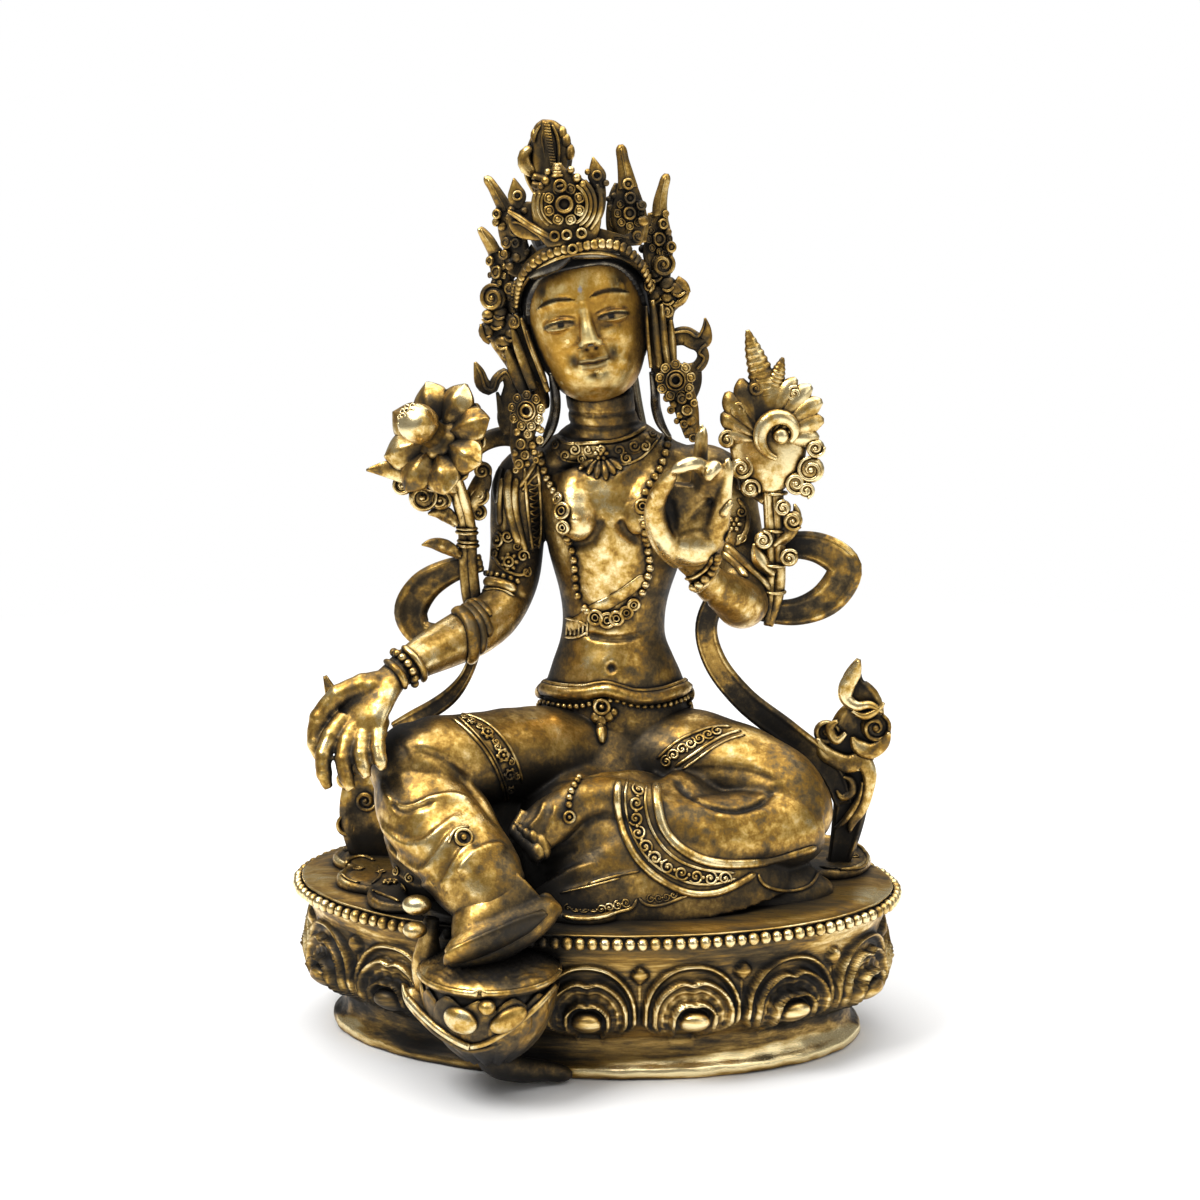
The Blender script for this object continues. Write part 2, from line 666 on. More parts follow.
def makePad():
    look = padLook
    x0, y0 = look["place"]
    rim, edge = look["radius"], look["edge"]
    profile = [
        (0, 8.5), (3.6, 9), (7.5, 13), (11, 18.5), (13.4, 23.5), (14.6, 26.6), (14.9, 28.2), (15.6, 28.9),
        (rim, 29.6), (16.1, edge), (15.4, edge + 0.9), (13.5, edge + 1.9), (10.5, edge + 3), (6, edge + 3.8),
        (2.5, look["top"]), (0, look["top"]),
    ]
    place, quads, corners = tubeBlank(72, 70)
    t = place[:, 2] + 0.5
    angle = np.arctan2(place[:, 1], place[:, 0])
    onAxis = np.hypot(place[:, 0], place[:, 1]) < 0.5
    row = alongRows([[r, 0, h] for r, h in profile], t)
    reach, high = row[:, 0], row[:, 2]
    lobe = 0.35 * np.abs(np.sin(angle * 9)) * smooth(16, 24, high) * smooth(29, 27, high)
    reach = np.where(onAxis, 0, np.maximum(reach, 0) + lobe)
    flat = np.c_[reach * np.cos(angle), reach * np.sin(angle)]
    pit = np.cos(flat[:, 0] * 2 * math.pi / 2.1) * np.cos(flat[:, 1] * 2 * math.pi / 2.1)
    high = high + 0.45 * pit * smooth(edge + 0.8, edge + 1.6, high)
    cup = (np.c_[flat[:, 0] + x0, flat[:, 1] + y0, high], quads, corners)
    ringRows = [
        [x0 + math.cos(a) * 15.9, y0 + math.sin(a) * 15.9, edge - 0.3, 0.75, 0.75]
        for a in np.linspace(0, 2 * math.pi, 40)
    ]
    return [cup, limb(ringRows, 8, 90, rise=0)]


pad = makePiece("small_lotus_cup", makePad())


def makePadPetals():
    x0, y0 = padLook["place"]
    rows = [[*atDepth(x, y, depth), wide, 1.2] for x, y, depth, wide in (
        (405, 985, -46, 0.5), (409, 1000, -50, 1.0), (424, 1018, -56, 1.2), (444, 1036, -61, 1.1),
        (471, 1049, -62, 1.0), (503, 1040, -61, 1.0), (530, 1020, -57, 1.1), (548, 1000, -51, 0.9),
        (557, 984, -46, 0.4),
    )]
    ledge = []
    for x, y, z, _, _ in rows:  # the petal's edge reaches back to the cup
        away = np.array([x - x0, y - y0])
        reach = np.hypot(*away)
        cup = np.interp(z, (8.5, 13, 18.5, 23.5, 29), (1, 7.5, 11, 13.4, 15))
        half = max(1, (reach - cup + 1.6) / 2)
        ledge.append([*(np.array([x0, y0]) + away / reach * (reach - half)), z, half, 0.6])
    parts = [limb(rows, 10, 60, facing=[[0, -1, -0.2]] * 2, rise=0),
             limb(ledge, 10, 60, facing=[[0, -0.2, 1]] * 2, rise=0)]
    for turn, wide, tall in ((-168, 4.5, 1), (-143, 5, 1.02), (-118, 5.4, 1.03), (-90, 5.6, 1.02),
                             (-62, 5.4, 1.03), (-37, 5, 1.02), (-12, 4.5, 1)):
        a = math.radians(turn)
        rows = [
            [x0 + math.cos(a) * r, y0 + math.sin(a) * r, z, w, d]
            for r, z, w, d in ((5, 10, 1.2, 1), (10.4, 15.5, wide * 0.7, 1.3), (13.6, 21, wide, 1.2),
                               (15.0, 26, wide * 0.72, 0.9), (15.6, 29.4 * tall - 1.6, 0.5, 0.4))
        ]
        parts.append(limb(rows, 14, 22, facing=[[math.cos(a), math.sin(a), -0.5]] * 2,
                          section=leafSection(0.5), rise=0))
    thick = 3.6
    parts.append(limb([
        [x0 - 1, y0 - 3, 14, 3, 3], [x0 + 1, y0 - 1, 9, thick, thick], [x0 + 6, y0 + 3.6, 5, thick, 3.2],
        [x0 + 12, y0 + 7, 3.4, 2.6, 2.4], [x0 + 16.5, y0 + 8.6, 2.2, 2.0, 1.8],
        [x0 + 18, y0 + 9, 2, 0.6, 0.6],
    ], 14, 30, rise=0))
    parts.append(limb([
        [x0 - 13, y0 + 3, 22, 4.4, 3], [x0 - 14.6, y0 + 3, 30, 4, 2.6], [x0 - 14.4, y0 + 3, 36, 2.4, 2.2],
        [x0 - 13.6, y0 + 3, 41, 1.8, 1.8],
    ], 12, 24, rise=0, section=leafSection(0.4)))
    return parts


padPetals = makePiece("small_lotus_petals", makePadPetals())
useModifier(padPetals, "SMOOTH", factor=0.4, iterations=1)
padSkin = skinOf(pad, padPetals)


def makeBosses():  # what sits on the cup, rubbed bright
    parts = [ball(atDepth(417, 905, -49), (3.4, 2.8, 2.3), around=24, rings=16, rise=0),
             ball(atDepth(415, 930, -52), (2.8, 2.6, 1.9), around=24, rings=16, rise=0)]
    for across, high, wide, tall, lean in ((461, 1020, 4.2, 3.2, -0.2), (508, 1019, 4.6, 2.7, 0.5),
                                           (487, 1007, 2.0, 1.8, 0.1)):
        found = seenAt(padSkin, across, high, 0.2)
        axes = turnTo(found[1], (-math.sin(lean), 0, math.cos(lean)))
        points, quads, corners = ballBlank(24, 16)
        parts.append(((points * (wide, tall, 2.0)) @ axes.T + found[0], quads, corners))
    for line, thick in (([(409, 1000), (422, 1014), (440, 1030), (455, 1040), (470, 1047)], 1.0),
                        ([(470, 1047), (488, 1041), (508, 1029), (526, 1015), (542, 1000), (554, 987)], 0.8)):
        found = seenAlong(padSkin, line, 0.2)
        rows = [[*p, thick, thick] for p, _ in found]
        parts.append(limb(rows, 12, 40, facing=[n for _, n in found], rise=0))
    return parts


bosses = makePiece("small_lotus_bosses", makeBosses())
finishPiece(bosses, rubbedBrass, "lotus_base")
finishPiece(pad, brass, "lotus_base")
finishPiece(padPetals, brass, "lotus_base")


# Torso, arms and hands, one skin

torsoRows = [
    [4, 9, 34, 19, 14], [4, 9, 41, 18.6, 13.8], [4, 8.5, 46, 17.4, 12.9], [3.8, 8.1, 52, 15.2, 11.6],
    [3.7, 8, 58, 13, 10], [3.8, 8, 63, 12.6, 9.8], [3.9, 8, 69, 13.4, 10.3], [4.2, 7.6, 80, 16.6, 11.5],
    [4.5, 7.6, 91, 18.6, 12.2], [4.6, 8, 97, 19.6, 10.8], [4.4, 8.2, 101.5, 17, 9.2],
    [3.4, 7.8, 105, 11.6, 8], [2, 7, 108.5, 9, 7.8], [1.2, 5.6, 113, 8.2, 7.4], [0.6, 4.2, 119, 8.2, 7.6],
]
breastPlaces = [(-4.2, -1.4, 89.6), (12.2, -1.4, 90.2)]
rightArm = [
    [-9, 8.4, 98, 6, 6], [-15, 8.8, 99.4, 6.6, 6.4], [-19, 9.2, 96, 6.8, 6.9], [-20, 9, 88, 6.4, 6.8],
    [-20.2, 8.4, 80, 6.2, 6.6], [-21, 6.6, 72.5, 6.2, 6.4], [-23.6, 1.8, 65.6, 6.4, 6],
    [-28.4, -5, 62, 6.6, 6.3], [-34, -13, 59.8, 5.9, 5.7], [-39.6, -21, 57.6, 4.8, 4.6],
    [-43.6, -26.6, 55.4, 3.9, 3.7],
]
leftArm = [
    [18, 8.4, 98, 6, 6], [25.5, 8.8, 99.6, 6.6, 6.4], [30.4, 9.2, 96, 6.8, 7], [32.4, 8.8, 88, 6.6, 7],
    [33.8, 8, 80, 6.6, 7], [35.6, 4, 72, 6.5, 6.8], [35.8, -2, 69, 6.2, 6.4], [33.4, -9, 71.8, 5.3, 5.3],
    [29.4, -14.4, 75.4, 4.4, 4.3], [27, -18.6, 78.8, 3.9, 3.7], [25.8, -21, 81.6, 3.9, 3.5],
]
rightPalm = [
    [-42.6, -25.4, 56.8, 3.6, 3.2], [-45.4, -28.8, 53.6, 4.6, 3.3], [-48.4, -32, 49.8, 6.2, 3.1],
    [-50.8, -34.8, 45.8, 6.8, 2.8], [-51.6, -36.4, 42.6, 6.4, 2.2],
]
rightFingers = [
    [[-45, -28.6, 54.2, 2.6, 2.6], [-51, -31, 53, 2.9, 2.9], [-56.4, -32.8, 51, 2.6, 2.5],
     [-60.6, -34.2, 45.8, 2.5, 2.3], [-61.2, -36.0, 40.4, 2.2, 2.1], [-59.6, -37.8, 36.4, 1.2, 1.2]],
    [[-54.6, -34.6, 46.4, 2.3, 2.3], [-57.2, -37.8, 42.6, 2.15, 2.1], [-58.6, -40.4, 38.6, 2.0, 1.95],
     [-58.2, -42, 34.8, 1.85, 1.8], [-57, -43, 31.4, 1.1, 1.1]],
    [[-52, -35.4, 45, 2.3, 2.3], [-53.4, -38.6, 41.6, 2.15, 2.1], [-53.8, -41.4, 38, 1.95, 1.9],
     [-52.8, -43, 34.4, 1.8, 1.8], [-51.4, -44, 31.4, 1.1, 1.1]],
    [[-49, -35.4, 45, 2.2, 2.2], [-49.9, -38.4, 42, 2.05, 2], [-49.6, -41.2, 39.2, 1.85, 1.85],
     [-48.8, -42.6, 36.6, 1.7, 1.7], [-47.8, -43.2, 34.2, 1.0, 1.0]],
    [[-46, -34.4, 46, 2.1, 2.1], [-46.2, -37.6, 43.4, 1.95, 1.9], [-45.8, -40.4, 40.8, 1.75, 1.75],
     [-45, -42, 38.2, 1.6, 1.6], [-44.2, -42.6, 36, 0.9, 0.9]],
]
leftPalm = [
    [25.6, -20, 81, 4.0, 3.4], [25.2, -23.4, 85.2, 6.0, 3.8], [24.6, -24.8, 90.4, 7.4, 3.0],
    [25, -25.4, 96, 7.4, 2.4], [25.6, -26, 100.6, 6.2, 2.2],
]
leftFingers = [
    [[22.4, -23, 83, 3, 3], [18.6, -27, 88.4, 3.3, 3.4], [16.9, -30, 94, 2.7, 2.8],
     [17.8, -33, 99, 2.2, 2.2], [20.2, -35.6, 103, 1.9, 1.8], [21.8, -37.4, 105.4, 1.0, 1.0]],
    [[27.4, -26.4, 99, 2.1, 2.1], [28.2, -30, 103.6, 2.0, 2.0], [27, -34.4, 106.2, 1.85, 1.8],
     [24.8, -37.4, 106.8, 1.7, 1.7], [22.8, -38.4, 106, 1.5, 1.5], [21.6, -38, 105, 0.9, 0.9]],
    [[26.2, -25.4, 98, 2.0, 2.0], [26.8, -26.6, 104, 1.9, 1.9], [27, -27.4, 109, 1.65, 1.65],
     [27.2, -27.8, 112.6, 1.4, 1.4], [27.3, -28, 114.8, 0.7, 0.7]],
    [[29.4, -26.4, 98.6, 2.1, 2.1], [30.4, -29.6, 103.4, 2.0, 1.9], [30.3, -33, 105.6, 1.8, 1.8],
     [29.4, -35, 104.4, 1.5, 1.5], [28.9, -35.4, 102.8, 0.8, 0.8]],
    [[27.8, -22.6, 84, 3.2, 3.0], [30.4, -25.6, 90, 3.0, 2.8], [31.9, -27.6, 96.4, 2.2, 2.2],
     [32.8, -29, 101.6, 1.6, 1.6], [33.2, -29.8, 105, 1.35, 1.35], [33.1, -30, 107.4, 0.7, 0.7]],
]
torsoLook = dict(voxel=0.46, soften=5, keep=0.5)


def makeTorso():
    palmSide = (-0.9, 0.1, -0.4)
    parts = [limb(torsoRows, 48, 60)]
    parts += [ball(p, (6.2, 5.0, 6.6), (0, 0.35, 1), around=32, rings=24) for p in breastPlaces]
    parts += [
        limb([[x * 1.15, y + 4, z + 10, 4, 3], [x, y + 0.6, z + 2, 5.6, 4.6], [x, y, z - 2, 4, 4]], 24, 20)
        for x, y, z in breastPlaces
    ]
    for rows in ([[-16, 8.6, 98.6, 5.6, 5.4], [-9, 8, 102.6, 5.8, 5.4], [-3, 7, 107, 5.6, 5.6]],
                 [[26, 8.6, 98.8, 5.6, 5.4], [16, 8.2, 102, 6, 5.4], [6.4, 7, 107, 5.6, 5.6]]):
        parts.append(limb(rows, 24, 24, side=(0, 1, 0)))
    parts += [limb(rightArm, 28, 60, side=(0, 1, 0.3)), limb(leftArm, 28, 60, side=(0, 1, 0.3))]
    parts += [limb(rightPalm, 20, 24, side=palmSide), limb(leftPalm, 20, 24, side=(1, 0.1, 0))]
    parts += [limb(rows, 12, 20, side=palmSide) for rows in rightFingers]
    parts += [limb(rows, 12, 20, side=(1, 0.1, 0)) for rows in leftFingers]
    knuckles = [row for rows in rightFingers for row in rows[1:-1]]
    parts += [ball(row[:3], (row[3] * 1.09,) * 3, around=16, rings=12) for row in knuckles]
    parts.append(ball((-48.8, -31.4, 52.6), (3.4, 2.8, 3.4), around=20, rings=14))  # the balls of the thumbs
    parts.append(ball((25.4, -26, 86.4), (6.0, 3.2, 4.6), around=28, rings=18))
    parts.append(limb([[3.7, 20, 88, 6, 2], [2, 18, 104, 7, 4], [-2, 12, 128, 8, 6]], 16, 20))
    return parts


# Raised (+) or sunk (-) lines on a skin, through points of the picture: points, height, width, width on the
# other side, where a fold falls away slowly
def fold(piece, lines):
    skin = skinOf(piece)
    found = []
    for points, lift, wide, soft in lines:
        line = alongRows([[x, y, 0] for x, y in points], np.linspace(0, 1, 8 * len(points)))
        spots = seenAlong(skin, line)
        if len(spots) > 3:
            found.append((np.array([p for p, _ in spots]), np.array([n for _, n in spots]), lift, wide, soft))

    def move(place, normal):
        out = np.zeros(len(place))
        for spots, facing, lift, wide, soft in found:
            spots = spots - [0, 0, seatHeight]
            reach = 2.6 * max(wide, soft)
            near = np.all((place > spots.min(0) - reach) & (place < spots.max(0) + reach), axis=1)
            chosen = np.nonzero(near)[0]
            if not len(chosen):
                continue
            best = np.full(len(chosen), 1e9)
            nearest = np.zeros(len(chosen), int)
            for k, spot in enumerate(spots):
                gap = np.sum((place[chosen] - spot) ** 2, axis=1)
                closer = gap < best
                best[closer] = gap[closer]
                nearest[closer] = k
            tangent = unitVector(np.gradient(spots, axis=0))[nearest]
            side = np.sum(np.cross(tangent, place[chosen] - spots[nearest]) * facing[nearest], axis=1)
            end = np.minimum(nearest, len(spots) - 1 - nearest) / (0.12 * len(spots))
            agree = np.sum(normal[chosen] * facing[nearest], axis=1) > 0.1
            width = np.where(side > 0, wide, soft)
            out[chosen] += lift * np.exp(-best / width**2) * np.clip(end, 0.15, 1) * agree
        return place + normal * out[:, None]

    reshape(piece, move)


def shapeTorso(place, normal):
    x, y, z = place.T
    front = smooth(4, -2, y) * smooth(-24, -16, x) * smooth(32, 26, x)
    inward = np.zeros(len(place))
    for high, depth, wide in ((107.2, 0.4, 0.55), (110.4, 0.45, 0.55), (113.6, 0.35, 0.5)):  # neck creases
        inward += depth * np.exp(-(((z - high - 0.05 * (x - 1) ** 2 * 0.2) / wide) ** 2)) * smooth(12, 4, y)
    inward += 1.5 * np.exp(-((x - 4.3) ** 2 + (z - 52.6) ** 2) / 1.3) * front  # navel
    inward += 0.55 * np.exp(-(((z - 59.6 - 0.02 * (x - 4) ** 2) / 0.8) ** 2)) * front
    inward -= 1.3 * np.exp(-((x - 4.2) ** 2 / 60 + (z - 52) ** 2 / 30)) * front  # belly
    inward += 0.6 * np.exp(-(((x - 4) / 1.6) ** 2)) * smooth(60, 66, z) * smooth(84, 76, z) * front
    for bx, _, bz in breastPlaces:
        inward -= 0.75 * np.exp(-((x - bx) ** 2 + (z - bz + 0.4) ** 2) / 0.9) * front
    return place - normal * inward[:, None]


torso = cast(makePiece("torso_and_arms", makeTorso()), torsoLook["voxel"], torsoLook["soften"])
reshape(torso, shapeTorso)
torsoFolds = [
    ([(585, 634), (600, 638), (620, 640), (645, 636)], -0.4, 0.8, 0.8),
    ([(568, 538), (576, 544), (588, 542), (598, 530), (601, 516)], -0.8, 0.8, 1.3),
    ([(619, 518), (624, 530), (633, 537), (646, 536)], -0.8, 0.8, 1.3),
    ([(566, 458), (576, 468), (588, 477), (600, 484)], 0.35, 0.8, 1.6),
    ([(640, 460), (628, 470), (614, 481)], 0.35, 0.8, 1.6),
    ([(670, 498), (673, 512), (674, 524), (672, 534)], -0.7, 0.9, 1.6),  # lines of the palm
    ([(690, 520), (702, 508), (714, 500)], -0.4, 0.6, 1.0),
]
fold(torso, torsoFolds)
lighten(torso, torsoLook["keep"])
finishPiece(torso, bodyBrass, "tara_figure")


# Legs and feet, one skin

legLook = dict(voxel=0.5, soften=3, keep=0.44)
rightThigh = [
    [2, 10, 25, 17, 16], [-8, 0, 28.4, 14.2, 13.6], [-18, -10, 31.4, 12.8, 12.2],
    [-28, -19.6, 33.2, 11.8, 11], [-36, -26, 34.4, 10.8, 10.2], [-41, -28.6, 33.2, 9, 9],
]
rightShin = [
    [-41, -26, 33, 8.4, 8], [-39, -29, 29, 10.6, 9.4], [-36, -33, 25, 11.6, 9.2], [-31, -37, 21, 12, 8.8],
    [-27, -41, 17, 11, 8.4], [-22.6, -44.4, 12.4, 10.8, 8], [-18, -46.4, 9, 9.4, 6.6], [-14.6, -47, 7, 7, 5],
]
leftThigh = [
    [8, 9, 24, 16, 17], [20, 4.4, 28, 13.4, 13.4], [30, 1.4, 27.2, 12.4, 12.6], [39, -1, 24.6, 11.8, 12],
    [47, -3.4, 20.6, 11.2, 11.4], [52, -4, 18, 8, 9],
]
leftShin = [
    [51, -4, 16, 9, 9], [46, -8, 15.4, 11, 10.6], [37, -14, 15.4, 10.6, 10], [27, -19, 16, 9.6, 9.4],
    [18, -21.6, 18.4, 8.2, 8.6], [10, -23.6, 21, 6.6, 7.4],
]
leftFoot = [
    [15, -22, 21.6, 6.6, 7.2], [9, -23.6, 24.6, 5.8, 6.2], [3, -25.4, 26, 5.2, 5.5],
    [-2, -27.8, 25, 5.2, 5.0], [-6.6, -30.6, 22.2, 5.6, 4.2], [-10, -32.6, 19.4, 5.4, 3.2],
    [-11.6, -33.6, 17.8, 4.4, 2.4],
]


def makeLegs():
    parts = [
        limb(rightThigh, 40, 50, side=(0.7, -0.7, 0.1)),
        ball((-40, -26.6, 32.6), (10.6, 10.4, 10.8), around=32, rings=24),
        limb(rightShin, 40, 50),
        limb([[-31, -19, 0, 12, 13], [-36, -24, 13, 11, 11], [-39, -26, 24, 10, 10]], 32, 20),
        limb([[-22, -14, 6, 10, 9], [-22, -15, 16, 9, 8], [-22, -15, 26, 6, 6]], 24, 20),
        limb(leftThigh, 40, 50, side=(0, 1, 0)),
        ball((47, -3.4, 18.8), (11.4, 11.4, 11), around=32, rings=24),
        limb(leftShin, 40, 50, side=(0, 1, 0)), limb(leftFoot, 28, 40, facing=[[0.06, -0.82, 0.56]] * 2),
        limb([[30, -8, -2, 29, 16], [30, -8, 4, 27.6, 14], [31, -7, 12, 20, 10]], 40, 20),
        limb([[6, -8, -2, 46, 29], [5, -8, 3.4, 42, 28.4], [3, -7, 7.6, 33, 27.6], [0, -6, 11, 24, 26],
              [-2, -3, 14.4, 21, 22], [0, 2, 21, 19, 17], [3.6, 8, 32, 14, 14]], 56, 40),
        limb([[3, 12, -2, 29, 17], [3.4, 11, 12, 25.4, 16.8], [3.8, 10, 24, 22, 16], [4, 9, 38, 18.8, 14],
              [4, 9, 42, 17, 13]], 48, 40),
    ]
    for k in range(5):  # toes of the left foot, the great toe lowest
        share = k / 4
        x, y, z = -8.6 - 6.2 * share, -34.8 + 2.4 * share, 17.4 + 4.0 * share
        size = 2.1 if k == 0 else 1.45 - 0.25 * share
        parts.append(limb([[x + 1.6, y + 1.4, z + 2.6, size, size], [x, y, z, size, size],
                           [x - 0.9, y - 1.4, z - 1.9, size, size],
                           [x - 1.2, y - 1.3, z - 3.6 + share, size * 0.7, size * 0.7],
                           [x - 1.2, y - 1.1, z - 4.4 + share, 0.3, 0.3]], 12, 16))
    return parts


def shapeLegs(place, normal):
    x, y, z = place.T
    sway = 0.18 * np.sin(x * 0.55 + z * 0.3) * np.sin(y * 0.4)
    return place + normal * sway[:, None]


legs = cast(makePiece("legs", makeLegs()), legLook["voxel"], legLook["soften"])
reshape(legs, shapeLegs)
legFolds = [
    ([(382, 772), (386, 790), (398, 806), (414, 806), (432, 798), (455, 795), (477, 805)], 0.9, 0.7, 2.4),
    ([(392, 800), (402, 811), (418, 808), (436, 801)], -0.8, 0.6, 1.0),
    ([(374, 811), (390, 832), (407, 843), (423, 842), (440, 829), (464, 811)], 1.0, 0.8, 2.6),
    ([(380, 832), (402, 857), (423, 869), (436, 857), (450, 838), (468, 822)], 1.0, 0.8, 2.4),
    ([(386, 856), (402, 874), (420, 884), (436, 878)], 0.8, 0.7, 2.0),
    ([(458, 876), (466, 862), (478, 851), (497, 845), (508, 850)], 1.0, 0.8, 2.2),
    ([(440, 890), (450, 872), (462, 852), (476, 842)], 0.8, 0.7, 2.0),
    ([(411, 748), (443, 760), (468, 784), (484, 805), (502, 830)], -0.9, 1.0, 2.0),
    ([(675, 772), (683, 789), (705, 805), (737, 811), (760, 803), (774, 789)], -1.1, 0.8, 1.2),
    ([(682, 771), (724, 768), (758, 773), (779, 785)], -0.5, 0.7, 1.8),
    ([(690, 796), (712, 812), (740, 817), (766, 808)], 0.8, 1.4, 2.0),
    ([(560, 893), (590, 884), (620, 876), (645, 872)], 0.5, 0.7, 1.6),
    ([(545, 800), (540, 815), (528, 830)], 0.5, 0.7, 0.7),
    ([(557, 803), (553, 818), (545, 835)], 0.5, 0.7, 0.7),
    ([(540, 880), (565, 872), (600, 862)], 0.6, 0.8, 2.0),
    ([(530, 870), (548, 858), (580, 848)], -0.5, 0.8, 1.4),
]
fold(legs, legFolds)
lighten(legs, legLook["keep"])
finishPiece(legs, legBrass, "tara_figure")

rightFootParts = [
    limb([[-27.4, -57.4, -3.6, 1.4, 2.2], [-25.6, -56.8, -3, 3, 3.8], [-21, -54.6, -1.2, 5, 5.4],
          [-15, -51.6, 1.4, 5.4, 5.6], [-9, -49, 4, 4.6, 4.6], [-5, -47.2, 6, 3, 2.8],
          [-3.6, -46.4, 6.6, 1, 1]],
         28, 40, side=(0, 1, 0)),
    limb([[-13, -43, 11, 8, 6.6], [-18, -47, 6, 9, 6.6], [-21, -51, 2.4, 7, 5.6],
          [-23, -54.6, -0.6, 4.4, 3.6]], 28, 30),
]
for k in range(5):
    share = k / 4
    x, y, z = -7.0 - share * 1.8, -47.6 + share * 2.4, 5.6 + share * 2.0
    size = 1.9 - 0.6 * share
    rightFootParts.append(ball((x + 2.2, y, z), (size * 1.3, size, size), around=16, rings=12))
rightFoot = cast(makePiece("right_foot", rightFootParts), 0.45, 2)
toes = []
for across, high, depth, size, stretch in (
    (543, 846, -35.6, 1.75, 1.8), (534, 838, -35.4, 1.4, 1.5), (527, 834.5, -34.8, 1.25, 1.45),
    (521, 830, -34, 1.1, 1.4), (516.5, 825, -33.2, 0.95, 1.3),
):
    toes.append(ball(atDepth(across, high, depth), (size, size, size * stretch), (0.3, -0.25, -1), 20, 14, 0))
leftToes = cast(makePiece("left_toes", toes), 0.3, 1)
finishPiece(leftToes, legBrass, "tara_figure")
finishPiece(rightFoot, legBrass, "tara_figure")
sole = makePiece("right_sole", [limb(
    [[*atDepth(x, y, d), w, 1.2] for x, y, d, w in (
        (445, 961, -61.2, 0.6), (453, 957, -61.8, 2.3), (468, 951, -61.4, 3.0), (490, 942, -60.2, 3.2),
        (511, 932, -58.4, 3.0), (530, 922, -56.2, 2.4), (545, 912, -54, 0.6))],
    18, 50, facing=[unitVector([0.3, -0.85, -0.42])] * 2, rise=0)])
finishPiece(sole, darkSole, "tara_figure")


# Cloth that lies under the figure in scallops

clothLook = dict(thick=2.0, sunk=0.4, voxel=0.7, keep=0.5)
clothCusps = [  # place of a cusp, and how far the next scallop swings out
    (-56, 27, 0.5), (-63, 11, 0.55), (-60, -7, 0.6), (-52, -24, 0.6), (-38, -36, 0.5), (-22, -41, 0.3),
              (-9, -38, 0.7),
    (12.5, -27, 0.8), (25, -21.4, 0.7), (40, -5, 1.35), (55, -0.6, 0.4), (67, 8, 0.25), (65, 24, 0.4),
              (47, 33, 0.4),
    (27, 38, 0.4), (3, 40, 0.4), (-19, 38, 0.4), (-40, 34, 0.4),
]


def scallops(steps=12):
    line = []
    for i, (x, y, bulge) in enumerate(clothCusps):
        nextX, nextY, _ = clothCusps[(i + 1) % len(clothCusps)]
        outX = (x + nextX) / 2 - (y - nextY) * bulge
        outY = (y + nextY) / 2 + (x - nextX) * bulge
        for t in np.linspace(0, 1, steps, endpoint=False):
            line.append(((1 - t) ** 2 * x + 2 * t * (1 - t) * outX + t * t * nextX,
                         (1 - t) ** 2 * y + 2 * t * (1 - t) * outY + t * t * nextY))
    return np.array(line)


def makeCloth():
    line = scallops()
    clearSelection()
    bpy.ops.mesh.primitive_circle_add(vertices=len(line), radius=1, fill_type="NGON")
    cloth = bpy.context.object
    turn = np.arctan2(*np.array([v.co[:2] for v in cloth.data.vertices]).T[::-1])
    order = np.argsort(np.argsort(np.mod(turn, 2 * math.pi)))
    lined = np.argsort(np.mod(np.arctan2(line[:, 1], line[:, 0]), 2 * math.pi))
    start = lined[0]
    for vertex, rank in zip(cloth.data.vertices, order):
        x, y = line[(start + rank) % len(line)]
        vertex.co = (x * unit, y * unit, (seatHeight - clothLook["sunk"]) * unit)
    pick(cloth)
    bpy.ops.object.mode_set(mode="EDIT")
    bpy.ops.mesh.select_all(action="SELECT")
    tall = (clothLook["thick"] + clothLook["sunk"]) * unit
    bpy.ops.mesh.extrude_region_move(TRANSFORM_OT_translate={"value": (0, 0, tall)})
    bpy.ops.object.mode_set(mode="OBJECT")
    turnFacesOut(cloth)
    cloth.name = "seat_cloth"
    return cast(cloth, clothLook["voxel"], 1)


cloth = makeCloth()


def shapeCloth(place, normal):
    x, y, z = place.T
    line = scallops(steps=24)
    near = np.full(len(place), 1e9)
    for px, py in line:
        near = np.minimum(near, (x - px) ** 2 + (y - py) ** 2)
    near = np.sqrt(near)
    top = smooth(1.0, 1.8, z)
    wave = 0.35 * np.sin(x * 0.21 + 1) * np.sin(y * 0.33)
    groove, rim = np.exp(-(((near - 2.2) / 0.8) ** 2)), np.exp(-(((near - 0.9) / 0.6) ** 2))
    lift = top * (wave - 0.45 * groove + 0.5 * rim)
    place[:, 2] += lift
    return place


reshape(cloth, shapeCloth)
lighten(cloth, clothLook["keep"])
finishPiece(cloth, brass, "tara_figure")
print("body ready")


# Head: its own frame stands on the tilted neck, x to its left, y to its back

headLook = dict(middle=(-1.9, 2, 136), tilt=10.5, turn=5, voxel=0.32, keep=0.6)
tilt, turned = math.radians(headLook["tilt"]), math.radians(headLook["turn"])
headTurn = np.array([
    [math.cos(tilt), 0, -math.sin(tilt)], [0, 1, 0], [math.sin(tilt), 0, math.cos(tilt)],
]) @ np.array([
    [math.cos(turned), -math.sin(turned), 0], [math.sin(turned), math.cos(turned), 0], [0, 0, 1],
])


def onHead(parts):
    moved = []
    for place, quads, corners in flatList(parts):
        at = place @ headTurn.T + headLook["middle"]
        at[:, 2] += seatHeight
        moved.append((at, quads, corners))
    return moved


def toHeadFrame(place):
    return (place - headLook["middle"]) @ headTurn


def headLimb(rows, sides=12, cuts=None, **settings):
    return limb(rows, sides, cuts, rise=0, **settings)


def bothSides(make):
    return [make(-1), make(1)]


